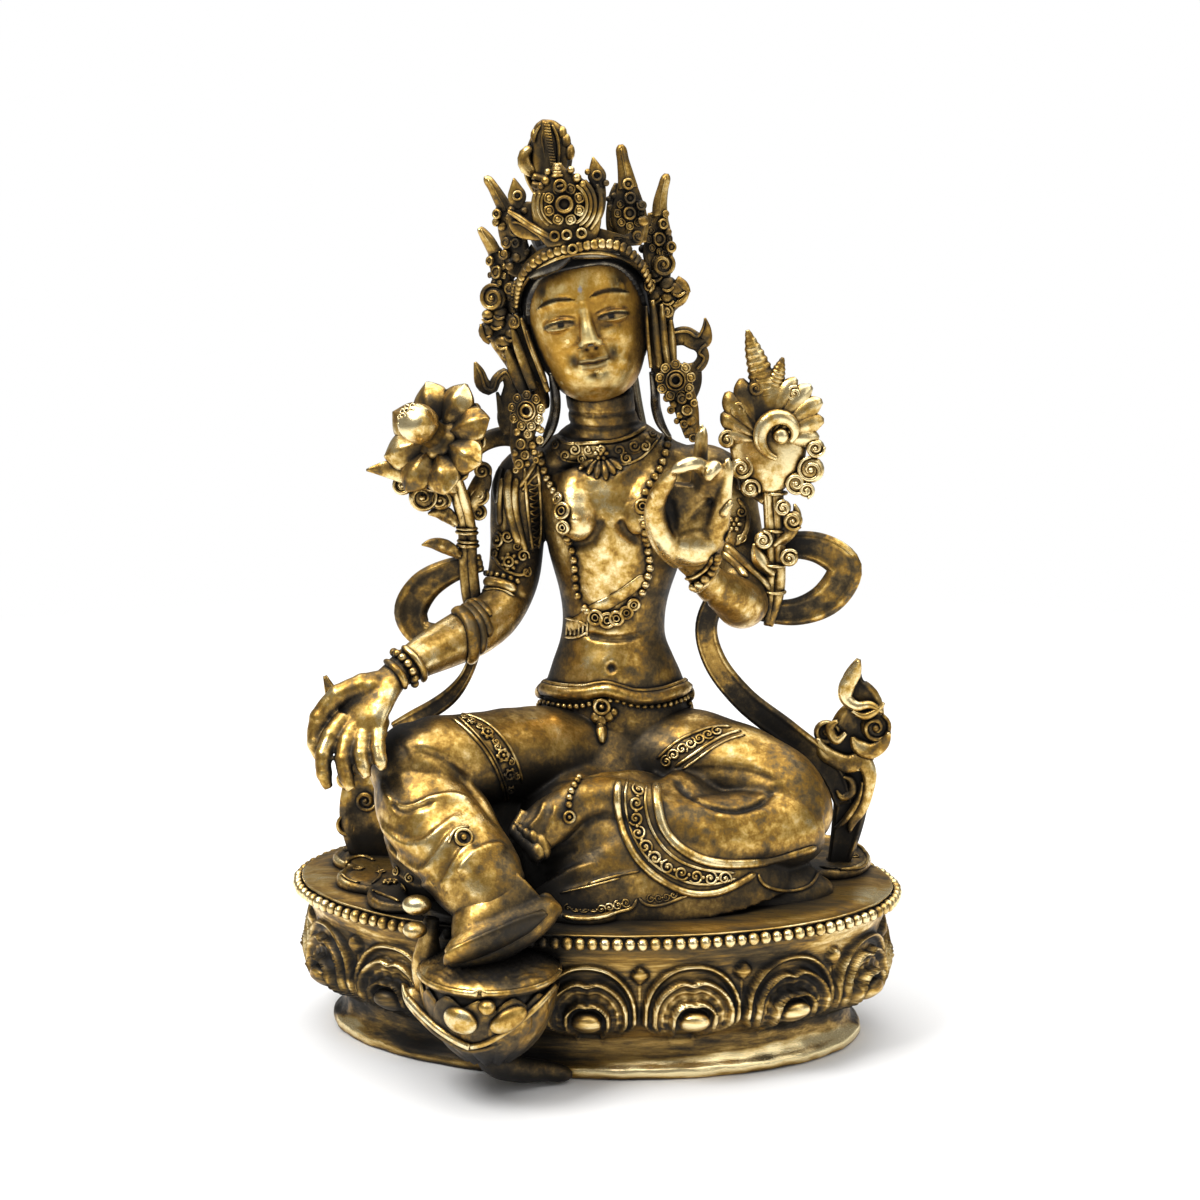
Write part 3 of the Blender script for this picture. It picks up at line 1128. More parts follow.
skullRows = [
    [0, -8.6, -17.0, 2.8, 2.8], [0, -7.9, -16.1, 5.5, 5.2], [0, -6.2, -14.0, 8.9, 8.8],
    [0, -3.2, -10, 11.9, 12.5], [0, -0.6, -3.5, 13.8, 14.9], [0, 0.4, 3, 14.2, 15.9],
    [0, 0.8, 10, 13.7, 15.4], [0, 1.4, 15.4, 11.6, 13.2], [0, 2, 19, 7.4, 8.6], [0, 2, 20.6, 1, 1],
]


def makeHead():
    parts = [headLimb(skullRows, 56, 60)]
    parts.append(headLimb([[0, -14.2, 4.6, 1.7, 1.6], [0, -14.8, 1.0, 1.7, 1.7], [0, -15.6, -2.6, 1.9, 2.0],
                           [0, -15.6, -4.6, 2.1, 1.8]], 20, 24))
    parts += bothSides(lambda s: ball((s * 1.7, -15.0, -4.7), (1.2, 1.4, 1.0), around=16, rings=12, rise=0))
    parts += bothSides(lambda s: ball((s * 6.0, -11.9, 0.7), (3.7, 2.9, 2.3), around=24, rings=16, rise=0))
    parts += bothSides(lambda s: headLimb([
        [s * 13.4, 2, 5.4, 1.5, 2.4], [s * 14.6, 2.4, 1, 1.7, 2.6], [s * 14.5, 2, -5, 1.4, 2.0],
        [s * 14.6, 1.4, -11, 1.4, 1.9], [s * 14, 0.6, -17, 1.7, 2.1], [s * 13.6, 0.4, -19, 0.8, 0.8],
    ], 16, 30))
    return onHead(parts)


def shapeFace(place, normal):
    x, y, z = toHeadFrame(place).T
    front = smooth(-7, -10.5, y)
    out = np.zeros(len(place))

    def mound(cx, cz, wide, tall, size):
        return size * np.exp(-(((x - cx) / wide) ** 2) - (((z - cz) / tall) ** 2))

    for s in (-1, 1):
        out -= mound(s * 5.0, 3.9, 3.6, 1.3, 0.35)  # hollow between brow and lid
        out -= mound(s * 2.8, 0.6, 1.3, 2.0, 0.45)  # inner corner
        brow = 6.2 - 0.045 * (np.abs(x) - 5.5) ** 2
        out += 0.38 * np.exp(-(((z - brow) / 0.8) ** 2)) * smooth(1.2, 3.2, s * x) * smooth(12, 9.5, s * x)
        bow = 1.45 - 0.06 * (s * x - 6.1) ** 2
        lid = smooth(1.8, 3.2, s * x) * smooth(10.6, 9.2, s * x)
        out += 0.42 * np.exp(-(((z - bow) / 0.42) ** 2)) * lid  # upper lid
        low = -0.25 + 0.03 * (s * x - 6.1) ** 2
        out += 0.28 * np.exp(-(((z - low) / 0.38) ** 2)) * lid  # lower lid
        out -= 0.30 * np.exp(-(((z - bow - 1.0) / 0.35) ** 2)) * lid
        out += mound(s * 7.2, -5.6, 4.2, 3.6, 0.35)  # cheek
        out -= mound(s * 4.3, -9.0, 0.8, 0.9, 0.35)  # corner of the mouth
        crease = np.exp(-(((s * x - 3.2 - (-6 - z) * 0.35) / 0.5) ** 2))  # beside the mouth
        out -= 0.25 * crease * smooth(-10, -8.6, z) * smooth(-5, -6, z)
    cupid = -8.5 - 0.3 * np.exp(-((x / 0.7) ** 2)) - 0.03 * x**2 * smooth(1, 3, np.abs(x))
    taper = np.sqrt(np.clip(1 - (x / 4.1) ** 2, 0, 1))
    out += 0.42 * np.exp(-(((z - cupid) / 0.66) ** 2)) * taper * smooth(0, 0.5, taper)
    lower = np.sqrt(np.clip(1 - (x / 3.3) ** 2, 0, 1))
    out += 0.45 * np.exp(-(((z + 10.2 - 0.03 * x**2) / 0.8) ** 2)) * lower
    out -= 0.36 * np.exp(-(((z + 9.3 - 0.03 * x**2) / 0.3) ** 2)) * taper
    out -= mound(0, -11.9, 2.4, 0.8, 0.4)
    out -= mound(0, -7.0, 0.6, 0.8, 0.22)
    for s in (-1, 1):
        out -= 0.4 * np.exp(-(((x - s * 1.1) / 0.45) ** 2) - (((z + 6.0) / 0.35) ** 2))  # nostrils
    return place + normal * (out * front)[:, None]


head = cast(makePiece("head", makeHead()), headLook["voxel"], 9)
reshape(head, shapeFace)
lighten(head, headLook["keep"])

faceLook = dict(
    gold=(0.60, 0.345, 0.06), pale=(1.0, 0.80, 0.36), line=(0.008, 0.007, 0.008), white=(0.34, 0.28, 0.17),
    iris=(0.012, 0.014, 0.018), lips=(0.09, 0.045, 0.018), dot=(0.5, 0.52, 0.6), soot=(0.045, 0.034, 0.02),
)


def paintFace(piece):  # brows, lids, eyes, lips and the dot on the brow, as attributes that the finish reads
    mesh = piece.data
    place = readVertices(mesh) / unit
    place[:, 2] -= seatHeight
    x, y, z = toHeadFrame(place).T
    front = smooth(-8, -10, y)
    side = np.abs(x)
    brow = 6.5 - 0.05 * (side - 5.6) ** 2
    taper = 0.62 * smooth(1.6, 3.4, side) * smooth(11.6, 8.6, side) + 0.05
    dark = smooth(1.25, 0.55, np.abs(z - brow) / taper) * (side > 1.6) * (side < 11.4)
    bow = 1.3 - 0.06 * (side - 6.1) ** 2
    low = -0.2 + 0.03 * (side - 6.1) ** 2
    lid = smooth(2.2, 3.0, side) * smooth(10.6, 9.8, side)
    dark = np.maximum(dark, smooth(0.62, 0.3, np.abs(z - bow)) * lid)
    dark = np.maximum(dark, 0.7 * smooth(0.3, 0.12, np.abs(z - low)) * lid)
    mouth = -9.45 + 0.03 * side**2
    dark = np.maximum(dark, 0.9 * smooth(0.34, 0.14, np.abs(z - mouth)) * smooth(4.4, 3.2, side))
    opening = smooth(0.0, 0.25, bow - z) * smooth(0.0, 0.25, z - low)
    opening = opening * smooth(2.7, 3.1, side) * smooth(9.6, 9.2, side)
    iris = smooth(0.95, 0.75, np.hypot(side - 6.0, z - 0.65)) * opening
    lips = np.maximum(
        smooth(1.2, 0.7, np.abs(z + 8.8) / 0.6) * smooth(4.2, 3.4, side),
        smooth(1.2, 0.7, np.abs(z + 10.1) / 0.7) * smooth(3.4, 2.6, side),
    )
    dot = smooth(0.62, 0.45, np.hypot(x, z - 8.0))
    soot = np.maximum.reduce([
        np.exp(-(((x - cx) / wide) ** 2) - (((z - cz) / tall) ** 2)) for cx, cz, wide, tall in
        ((-4.6, -8.2, 1.6, 2.0), (4.8, -8.0, 1.8, 2.2), (0.4, -12.4, 3.0, 1.4), (8.5, -13, 3, 4),
         (-2.4, -5.8, 1.0, 1.4), (5, -1.8, 3, 1.2), (9.5, 8, 2.5, 3), (-9, 9, 2, 2.5), (0, -17.5, 8, 1.6),
         (-11, -8, 1.5, 4))
    ])
    for name, value in (("line", dark), ("white", opening), ("iris", iris), ("lips", lips), ("dot", dot),
                        ("soot", soot)):
        attribute = mesh.attributes.new(name, "FLOAT", "POINT")
        attribute.data.foreach_set("value", (value * front).astype(np.float32))


paintFace(head)
faceFinish = oldMetal("worn_gold_face", dict(
    brassLook, shade=(0.13, 0.07, 0.018), middle=(0.32, 0.165, 0.028), amber=(0.50, 0.265, 0.038),
    worn=faceLook["gold"], bright=faceLook["pale"], hollow=0.002, room=0.006, mottle=75, wear=-0.17,
    gloss=(0.6, 0.4), spots=0.12, contrast=1.35,
))
nodes, links = faceFinish.node_tree.nodes, faceFinish.node_tree.links
shader = nodes["Principled BSDF"]
last = shader.inputs["Base Color"].links[0].from_socket
for name, share in (("soot", 0.9), ("lips", 0.62), ("white", 0.5), ("iris", 0.97), ("line", 0.95),
                    ("dot", 0.9)):
    reader = nodes.new("ShaderNodeAttribute")
    reader.attribute_name = name
    part = nodes.new("ShaderNodeMath")
    part.operation = "MULTIPLY"
    part.inputs[1].default_value = share
    links.new(reader.outputs["Fac"], part.inputs[0])
    if name == "soot":  # broken up, as dark patina is
        cloud = nodes.new("ShaderNodeTexNoise")
        cloud.inputs["Scale"].default_value = 320
        cloud.inputs["Detail"].default_value = 5
        where = nodes.new("ShaderNodeTexCoord")
        links.new(where.outputs["Object"], cloud.inputs["Vector"])
        spread = nodes.new("ShaderNodeMapRange")
        spread.inputs["From Min"].default_value = 0.38
        spread.inputs["From Max"].default_value = 0.52
        links.new(cloud.outputs["Fac"], spread.inputs["Value"])
        links.new(spread.outputs[0], part.inputs[1])
    mix = nodes.new("ShaderNodeMix")
    mix.data_type = "RGBA"
    links.new(part.outputs[0], mix.inputs["Factor"])
    links.new(last, mix.inputs[6])
    mix.inputs[7].default_value = (*faceLook[name], 1)
    last = mix.outputs[2]
links.new(last, shader.inputs["Base Color"])
finishPiece(head, faceFinish, "tara_figure")


# Dark hair, combed back from the brow under the crown, and down the back

def makeLocks():
    skin = skinOf(head)
    parts = []
    for line in ([(551, 372, -4, 0.7), (555, 392, -3, 1.2), (555, 412, 0, 1.3), (550, 430, 2, 1.3),
                  (541, 447, 2, 0.6)],
                 [(652, 372, -4, 0.7), (655, 392, -3, 1.1), (656, 408, 0, 1.2), (661, 424, 2, 1.1),
                  (670, 437, 2, 0.5)]):
        parts.append(limb([[*atDepth(x, y, d), w, 1.3] for x, y, d, w in line], 12, 30, facing=frontFace,
                          rise=0))
    body = skinOf(torso)
    for line, wide in (([(503, 468), (499, 480), (498, 492), (499, 503)], 1.3),
                       ([(706, 434), (713, 440), (724, 446)], 1.2),
                       ([(732, 458), (738, 472), (742, 490)], 1.2)):
        found = seenAlong(body, line)
        if len(found) > 2:
            rows = [[*(p + n * 0.4), wide * w, 0.9] for (p, n), w in zip(found, (0.4, 1.0, 1.0, 0.3))]
            parts.append(limb(rows, 12, 20, facing=[n for _, n in found], rise=0))
    for line, wide in (([(541, 280), (551, 271), (562, 265), (573, 262)], 2.0),
                       ([(572, 262), (585, 257), (598, 256), (612, 261)], 2.0)):
        found = seenAlong(skin, line)
        rows = [[*(p + n * 2.5), wide * w, 1.3] for (p, n), w in zip(found, (0.15, 0.9, 1.0, 0.15))]
        parts.append(limb(rows, 12, 20, facing=[n for _, n in found], rise=0))
    return parts


def makeHair():
    def capSection(a, t):
        z = -9.5 + t * 30.5
        turn = np.abs(np.mod(a - math.pi / 2 + math.pi, 2 * math.pi) - math.pi)  # from the front
        edge = 11.4 - 18.6 * (turn / 1.45) ** 4
        grow = 0.87 + 0.13 * smooth(-0.6, 0.3, z - edge)
        grow = np.where(turn > 1.7, 1.0, grow)
        return np.cos(a) * grow, np.sin(a) * grow
    parts = [headLimb([[0, -2.6, -9.5, 12.4, 13.2], [0, -0.6, -3.5, 14.5, 15.6], [0, 0.4, 3, 14.9, 16.6],
                       [0, 0.8, 10, 14.4, 16.1], [0, 1.4, 15.4, 12.4, 14.0], [0, 2, 19, 8.4, 9.6],
                       [0, 2, 21, 2, 2]],
                      96, 90, section=capSection)]
    for k in range(11):  # the fall at the back
        a = (k - 5) / 5 * 0.62
        x, y = math.sin(a) * 12.6, math.cos(a) * 15.6
        parts.append(headLimb([[x * 0.7, y * 0.7 + 2, 16, 2, 1.4], [x, y + 2, 6, 2.4, 1.8],
                               [x, y + 3, -8, 2.2, 1.8], [x * 0.95, y + 5, -22, 2.2, 1.8],
                               [x * 0.95, y + 7, -36, 2.0, 1.6], [x * 0.8, y + 7, -45, 0.6, 0.6]], 10, 26,
                              facing=[[x, y, 0]] * 2))
    bun = [[-2.6, 3, 18, 6.4, 6.4], [-2.6, 3, 22, 7.2, 7.2], [-2.6, 3, 26, 6.8, 6.8],
           [-2.8, 3, 29.4, 4.4, 4.4], [-3, 2.8, 31, 2.6, 2.6]]

    def strands(a, t):
        return np.cos(a) * (1 + 0.05 * np.cos(a * 14)), np.sin(a) * (1 + 0.05 * np.cos(a * 14))
    parts.append(headLimb(bun, 84, 30, section=strands))
    return onHead(parts)


hair = makePiece("hair", makeHair() + makeLocks())
finishPiece(hair, darkHair, "tara_figure")
print("head ready")


# Crown: a hoop of overlapping scales, five leaves with rosettes and set rings, scroll work at the sides.
# The front is placed by picture points and a depth, in millimetres from the middle of the base.

crownLook = dict(halfWidth=15.2, halfDepth=17.0, height=7, slope=0.66, scales=58)


def onBand(degrees, out=0.0, rise=0.0):
    a = math.radians(degrees)
    look = crownLook
    return np.array([
        math.sin(a) * (look["halfWidth"] + out), -math.cos(a) * (look["halfDepth"] + out) + 0.5,
        look["height"] + math.cos(a) * look["halfDepth"] * look["slope"] + rise,
    ])


def bandWay(degrees):
    a = math.radians(degrees)
    return np.array([math.sin(a), -math.cos(a), 0.0])


toFront = unitVector([0.08, -1, 0.12])


def strip(points, depth, thick=0.8, facing=toFront, section=roundSection, sides=10, cuts=None):
    # points of x, y and half width; the depth may change along it
    depths = np.interp(np.linspace(0, 1, len(points)), np.linspace(0, 1, np.size(depth)),
                       np.atleast_1d(depth))
    rows = [[*atDepth(x, y, d), w, thick * min(1, 0.3 + w)] for (x, y, w), d in zip(points, depths)]
    return limb(rows, sides, cuts, facing=[facing, facing], section=section, rise=0)


def plate(rows, depth, facing=toFront,
          thick=0.7):  # a sheet of metal behind the work: rows of height, left and right
    return strip([((left + right) / 2, high, (right - left) * 0.118) for high, left, right in rows], depth,
                 thick, facing, sides=16, cuts=30)


def lump(across, high, wide, depth, tall=None, thick=None, facing=toFront):
    found = atDepth(across, high, depth)
    return ball(found, (wide, tall or wide, thick or wide), facing, 12, 8, 0)


def loop(across, high, radius, depth, facing=toFront, thick=0.36):
    return [ring(atDepth(across, high, depth), facing, radius, thick, 16, 8, 0, 1.5)]


def curl(across, high, radius, depth, hand=1, start=0.0, facing=toFront, thick=0.5, turns=1.5):
    found = atDepth(across, high, depth)
    return [scroll(found, facing, (0, 0, 1), radius, turns, thick, hand, 0, start),
            ball(found - np.asarray(facing) * 0.8, (radius, radius, 1.1), facing, 16, 8, 0)]


def cuppedPetals(across, high, reach, size, count, depth, facing=toFront, start=0.0):
    # small squarish petals, each a raised rim round a shallow cup
    middle = atDepth(across, high, depth)
    axes = turnTo(facing)
    parts = []
    for k in range(count):
        a = start + k / count * 2 * math.pi
        out = axes[:, 0] * math.sin(a) + axes[:, 1] * math.cos(a)
        side = np.cross(axes[:, 2], out)
        place = middle + out * reach
        points, quads, corners = ringBlank(12, 6)
        angle = np.arctan2(points[:, 1], points[:, 0])
        square = 1 / np.maximum(np.abs(np.cos(angle)), np.abs(np.sin(angle))) ** 0.6
        shape = points * np.c_[square, square, np.full(len(points), 1.1)] * size
        own = np.array([side, out, axes[:, 2]])
        parts.append((shape @ own + place, quads, corners))
        points, quads, corners = ballBlank(8, 6)
        parts.append((points * (size * 0.8, size * 0.8, size * 0.35) @ own + place, quads, corners))
    return parts


def leafFrame(degrees, lean):
    out = bandWay(degrees)
    along = np.array([math.cos(math.radians(degrees)), math.sin(math.radians(degrees)), 0.0])
    up = unitVector(np.array([0, 0, 1.0]) + out * lean)
    out = np.cross(along, up)
    foot = onBand(degrees, 0.6, 1.2)

    def at(x, y, z=0.0):
        return foot + along * x + up * y + out * z
    return at, along, up, out


def backLeaf(degrees, wide, tall, lean):  # plainer leaves of the crown's back
    at, along, up, out = leafFrame(degrees, lean)
    parts = [headLimb([[*at(0, -1.5), wide * 0.26, 0.8], [*at(0, tall * 0.25), wide * 0.44, 1.0],
                       [*at(0, tall * 0.55), wide * 0.46, 1.0], [*at(0, tall * 0.85), wide * 0.26, 0.9],
                       [*at(0, tall * 1.2), wide * 0.05, 0.5]], 18, 22, facing=[out, out])]
    parts.append(rosette(at(0, tall * 0.45, 1.3), out, wide * 0.24, 8, 0.55, 0))
    parts.append(ring(at(0, tall * 0.8, 1.0), out, 0.9, 0.3, 14, 6, 0))
    for s in (-1, 1):
        parts.append(scroll(at(s * wide * 0.36, tall * 0.08, 0.8), out, up, wide * 0.15, 1.3, 0.42, s, 0))
        parts.append(scroll(at(s * wide * 0.36, tall * 0.72, 0.5), out, up, wide * 0.12, 1.2, 0.38, -s, 0))
    return parts


mainLeaf = dict(depth=-14.5, middle=(564.4, 204.3), plate=[
    (571, 245, 5.4), (569, 230, 7.4), (566, 212, 8.0), (563, 194, 7.0), (560, 180, 4.4), (558, 168, 1.5),
    (557.5, 163, 0.9),
])


def makeMainLeaf():
    depth = mainLeaf["depth"]
    x, y = mainLeaf["middle"]
    parts = [strip(mainLeaf["plate"], depth + 0.5, 1.1, sides=20, cuts=30)]
    parts.append(plate([(180, 548, 586), (190, 540, 594), (204, 534, 598), (220, 538, 597), (234, 546, 592),
                        (246, 552, 592)],
                       depth + 0.9))
    parts.append(plate([(207, 508, 528), (212, 505, 538), (219, 508, 548), (226, 522, 554), (232, 540, 558)],
                       depth + 1.2))
    parts.append(plate([(180, 582, 604), (192, 590, 606), (208, 592, 605), (218, 588, 601), (228, 580, 594)],
                       depth + 1.6))
    parts += loop(x, y, 1.66, depth - 1.9, thick=0.52)
    parts += cuppedPetals(x, y, 3.72, 1.0, 8, depth - 1.2, start=0.39)
    parts.append(lump(x, y, 2.0, depth - 1.0, thick=0.7))
    for side, low, high in ((1, 32, 150), (-1, 60, 150)):
        for k, reach in enumerate((22.6, 26.6, 31)):
            line = [(x + side * math.sin(a) * reach, y - math.cos(a) * reach * 0.98, 0.42 + 0.05 * k)
                    for a in np.radians(np.linspace(low + 4 * k, high - 5 * k, 9))]
            parts.append(strip(line, depth - 0.9 + 0.3 * k, 0.5, sides=8, cuts=24))
    parts.append(strip([(508, 211, 0.4), (515, 215, 0.65), (530, 225, 0.75), (547, 235, 0.75),
                        (556, 241, 0.5)],
                       depth - 0.8, 1.1, cuts=24))
    parts.append(strip([(512, 222, 0.3), (521, 223, 0.5), (534, 231, 0.55), (548, 241, 0.4)], depth, 0.8))
    for across, high in ((554.8, 236.2), (566.8, 234.9), (581.6, 233.3)):
        parts += loop(across, high, 1.0, depth - 1.6, thick=0.36)
        parts.append(lump(across, high, 1.25, depth - 0.7, thick=0.7))
    parts += loop(560, 186, 1.25, depth - 1.8, thick=0.4) + [lump(560, 186, 1.2, depth - 1.2, thick=0.6)]
    parts.append(strip([(556.5, 187, 0.3), (563.5, 185, 0.3)], depth - 1.9, 0.4))
    for k, (high, wide) in enumerate(((176, 1.5), (172.6, 1.2), (169, 0.95), (166, 0.7))):
        parts.append(lump(557.5 - 0.2 * k, high, wide, depth - 0.8, 0.6, 0.9))
    for across, high, size in ((546, 181, 1.1), (541, 186, 0.9), (577, 178, 1.1), (583, 184, 0.9),
                               (571, 170, 0.9), (548, 172, 0.8)):
        parts.append(lump(across, high, size, depth - 0.5))
    for tip, middle, foot, hole, wide in (((514, 178), (517, 195.7), (518, 209), (517.5, 195.7), 2.2),
                                          ((593, 157), (597, 176), (598, 188), (597, 175.6), 2.2)):
        parts.append(strip([(*tip, 0.2), ((tip[0] + middle[0]) / 2, (tip[1] + middle[1]) / 2, wide * 0.62),
                            (*middle, wide), (*foot, wide * 0.5)], depth + 1.2, 0.9, sides=14, cuts=18))
        parts += loop(*hole, 0.95, depth + 0.1, thick=0.32)
    for across, high, size in ((512, 210, 1.0), (524, 211, 1.0), (600, 191, 1.1), (606, 183, 0.8),
                               (588, 172, 0.8)):
        parts.append(lump(across, high, size, depth + 0.8))
    parts.append(strip([(597, 184, 0.5), (601, 200, 0.7), (598, 216, 0.7), (590, 230, 0.5)], depth + 0.4, 0.8,
                       cuts=20))
    return parts


sideLeaves = [
    dict(depth=-7.5, facing=(0.42, -0.9, 0.1), plate=[(631, 246, 2.6), (630, 232, 3.8), (629, 214, 4.4),
                                                      (628, 196, 3.2), (627, 184, 2.3)],
         spike=[(628, 188, 2.1), (626, 176, 1.7), (623, 160, 1.25), (621, 148, 1.0), (620.5, 144.5, 0.4)],
         rings=[(628, 184, 1.1), (630, 198, 1.15), (629.4, 213.3, 1.3)], petals=(629.4, 213.3, 2.9, 0.8, 8),
         lumps=[(612, 208, 1.3), (615, 222, 1.5), (643, 221, 1.4), (629, 231, 1.3), (642, 205, 1.1),
                (615, 196, 1.1), (618, 236, 1.2), (638, 236, 1.3), (609, 199, 0.8), (622, 243, 1.0)]),
    dict(depth=1.5, facing=(0.6, -0.8, 0.1), plate=[(657, 276, 2.6), (657, 258, 3.4), (658, 240, 3.4),
                                                    (660, 222, 2.4), (661, 212, 1.8)],
         spike=[(660, 216, 1.8), (660, 204, 1.6), (663, 188, 1.15), (666, 177, 0.9), (666.5, 173.5, 0.35)],
         rings=[(663, 224, 1.0), (659, 239, 1.4), (671, 247, 1.1)], petals=(659, 239, 2.9, 0.75, 8),
         lumps=[(648, 228, 1.2), (650, 250, 1.4), (641, 236, 1.3), (648, 262, 1.3), (664, 254, 1.2),
                (643, 249, 1.2), (668, 232, 1.0), (666, 214, 0.8), (653, 215, 0.9), (656, 268, 1.2)]),
    dict(depth=-8.5, facing=(-0.42, -0.9, 0.1), plate=[(520, 262, 2.4), (515, 246, 3.2), (510, 230, 3.2),
                                                       (505, 214, 2.2), (501, 205, 1.6)],
         spike=[(506, 210, 1.7), (500, 199, 1.45), (493, 187, 1.1), (487.5, 179, 0.85), (486, 176, 0.35)],
         rings=[(497, 214, 0.9), (515, 231, 1.1), (516, 243, 0.9)], petals=(514, 233, 2.3, 0.6, 7),
         lumps=[(502, 226, 1.2), (506, 242, 1.4), (516, 257, 1.4), (523, 240, 1.2), (504, 254, 1.2),
                (526, 252, 1.1), (508, 217, 1.0), (496, 222, 0.8), (510, 266, 1.2), (525, 226, 1.0)]),
    dict(depth=1.0, facing=(-0.62, -0.78, 0.1), plate=[(508, 300, 2.2), (503, 286, 3.0), (499, 270, 2.8),
                                                       (495, 256, 2.0), (492, 248, 1.5)],
         spike=[(495, 253, 1.6), (490, 243, 1.5), (484, 234, 1.1), (480.5, 229, 0.6), (479.5, 227.5, 0.3)],
         rings=[(490, 261, 0.9), (496.5, 272, 1.35)], petals=(497, 273, 2.5, 0.6, 7),
         lumps=[(508, 268, 1.3), (505, 284, 1.3), (507, 256, 1.1), (512, 276, 1.0), (511, 295, 1.3),
                (498, 286, 1.0), (499, 250, 0.8), (513, 304, 1.1), (516, 316, 1.2)]),
]


def makeSideLeaf(look):
    depth, facing = look["depth"], unitVector(look["facing"])
    parts = [strip(look["plate"], depth + 0.4, 1.0, facing, sides=14, cuts=20)]
    parts.append(strip([(x, y, w * 1.2) for x, y, w in look["spike"]], depth, 1.1, facing, sides=12, cuts=20))
    parts.append(strip([(x, y, 0.22) for x, y, _ in look["spike"][:-1]], depth - 1.1, 0.35, facing, sides=6))
    for across, high, radius in look["rings"]:
        parts += loop(across, high, radius, depth - 1.4, facing, 0.36)
        parts.append(lump(across, high, radius * 1.1, depth - 0.6, thick=0.8, facing=facing))
    across, high, reach, size, count = look["petals"]
    parts += cuppedPetals(across, high, reach, size, count, depth - 0.8, facing)
    for k, (across, high, size) in enumerate(look["lumps"]):
        if k % 3 == 1:
            parts += curl(across, high, size * 1.1, depth - 0.6, 1 if k % 2 else -1, k * 1.3, facing, 0.34)
        else:
            parts.append(lump(across, high, size, depth - 0.3, size * 0.9, 0.8, facing))
    return parts


scaleLine = [(517, 306), (518, 296), (520, 284), (525, 272), (536, 262), (547, 255), (560, 250.5),
             (574, 247.6), (593, 244.4), (610, 244), (626, 249), (638, 261), (647, 277), (651, 292)]
scaleDepths = [-2, -5, -8.5, -11, -13, -14.2, -15, -15.4, -15.2, -14.2, -12, -9, -5, -2]


def makeHoop():
    parts = []
    turns = np.linspace(-180, 180, 73)
    parts.append(headLimb([[*onBand(d, 0.1, -0.2), 1.9, 0.7] for d in turns], 10, 120, side=(0, 0, 1)))
    parts.append(headLimb([[*onBand(d, 0.6, -2.1), 0.45, 0.45] for d in turns], 8, 120, side=(0, 0, 1)))
    for k in range(crownLook["scales"]):  # the sides and the back
        d = 62 + k / (crownLook["scales"] - 1) * 236
        parts.append(ball(onBand(d, 0.9, 0), (0.95, 0.62, 1.05), bandWay(d), 8, 6, 0))
    parts = onHead(parts)
    line = [[*atDepth(x, y, d), 1, 1] for (x, y), d in zip(scaleLine, scaleDepths)]
    count = int(lineLength(line) / 1.72)
    places = alongRows(line, (np.arange(count) + 0.5) / count)[:, :3]
    ways = unitVector(np.gradient(places, axis=0))
    for k, (place, way) in enumerate(zip(places, ways)):  # scales of the front, each laid over the next
        out = unitVector(place - np.array([-1, 4, place[2]]))
        out = unitVector(out - way * float(out @ way))
        side = np.cross(out, way)
        tip = unitVector(out + way * 0.3)
        points, quads, corners = ballBlank(10, 8)
        made = (points * (1.12, 1.22, 0.6)) @ np.array([unitVector(np.cross(side, tip)), side,
                                                        tip]) + place + out * 0.2
        parts.append((made, quads, corners))
    return parts


def makeCrown():
    parts = makeHoop() + makeMainLeaf()
    for look in sideLeaves:
        parts += makeSideLeaf(look)
    parts += loop(572.6, 249.2, 0.95, -16.6, thick=0.34)
    for rows, depth, facing in (
        ([(184, 614, 638), (196, 608, 642), (210, 605, 646), (224, 605, 650), (234, 608, 650),
          (246, 616, 648)], -7,
         (0.42, -0.9, 0.1)),
        ([(232, 596, 630), (238, 592, 632), (243, 596, 632)], -12, (0.2, -0.97, 0.1)),
        ([(212, 646, 668), (226, 644, 672), (240, 642, 675), (254, 640, 676), (268, 645, 674),
          (284, 648, 672), (300, 650, 672)], 1.5, (0.6, -0.8, 0.1)),
        ([(206, 494, 512), (216, 494, 522), (230, 498, 529), (244, 502, 530), (252, 504, 532),
          (264, 506, 530), (276, 506, 522)], -7, (-0.42, -0.9, 0.1)),
        ([(254, 526, 552), (260, 522, 542), (268, 518, 530)], -9, (-0.2, -0.97, 0.1)),
        ([(246, 488, 500), (258, 488, 508), (270, 490, 516), (284, 494, 518), (298, 496, 518),
          (314, 498, 520)], 1.2,
         (-0.62, -0.78, 0.1)),
    ):
        parts.append(plate(rows, depth + 0.6, unitVector(facing)))
    back = []
    for s in (-1, 1):
        back += backLeaf(s * 134, 11, 11, 0.3)
    back += backLeaf(180, 12, 12, 0.3)
    return parts + onHead(back)


crown = makePiece("crown", makeCrown())
finishPiece(crown, crownBrass, "tara_figure")


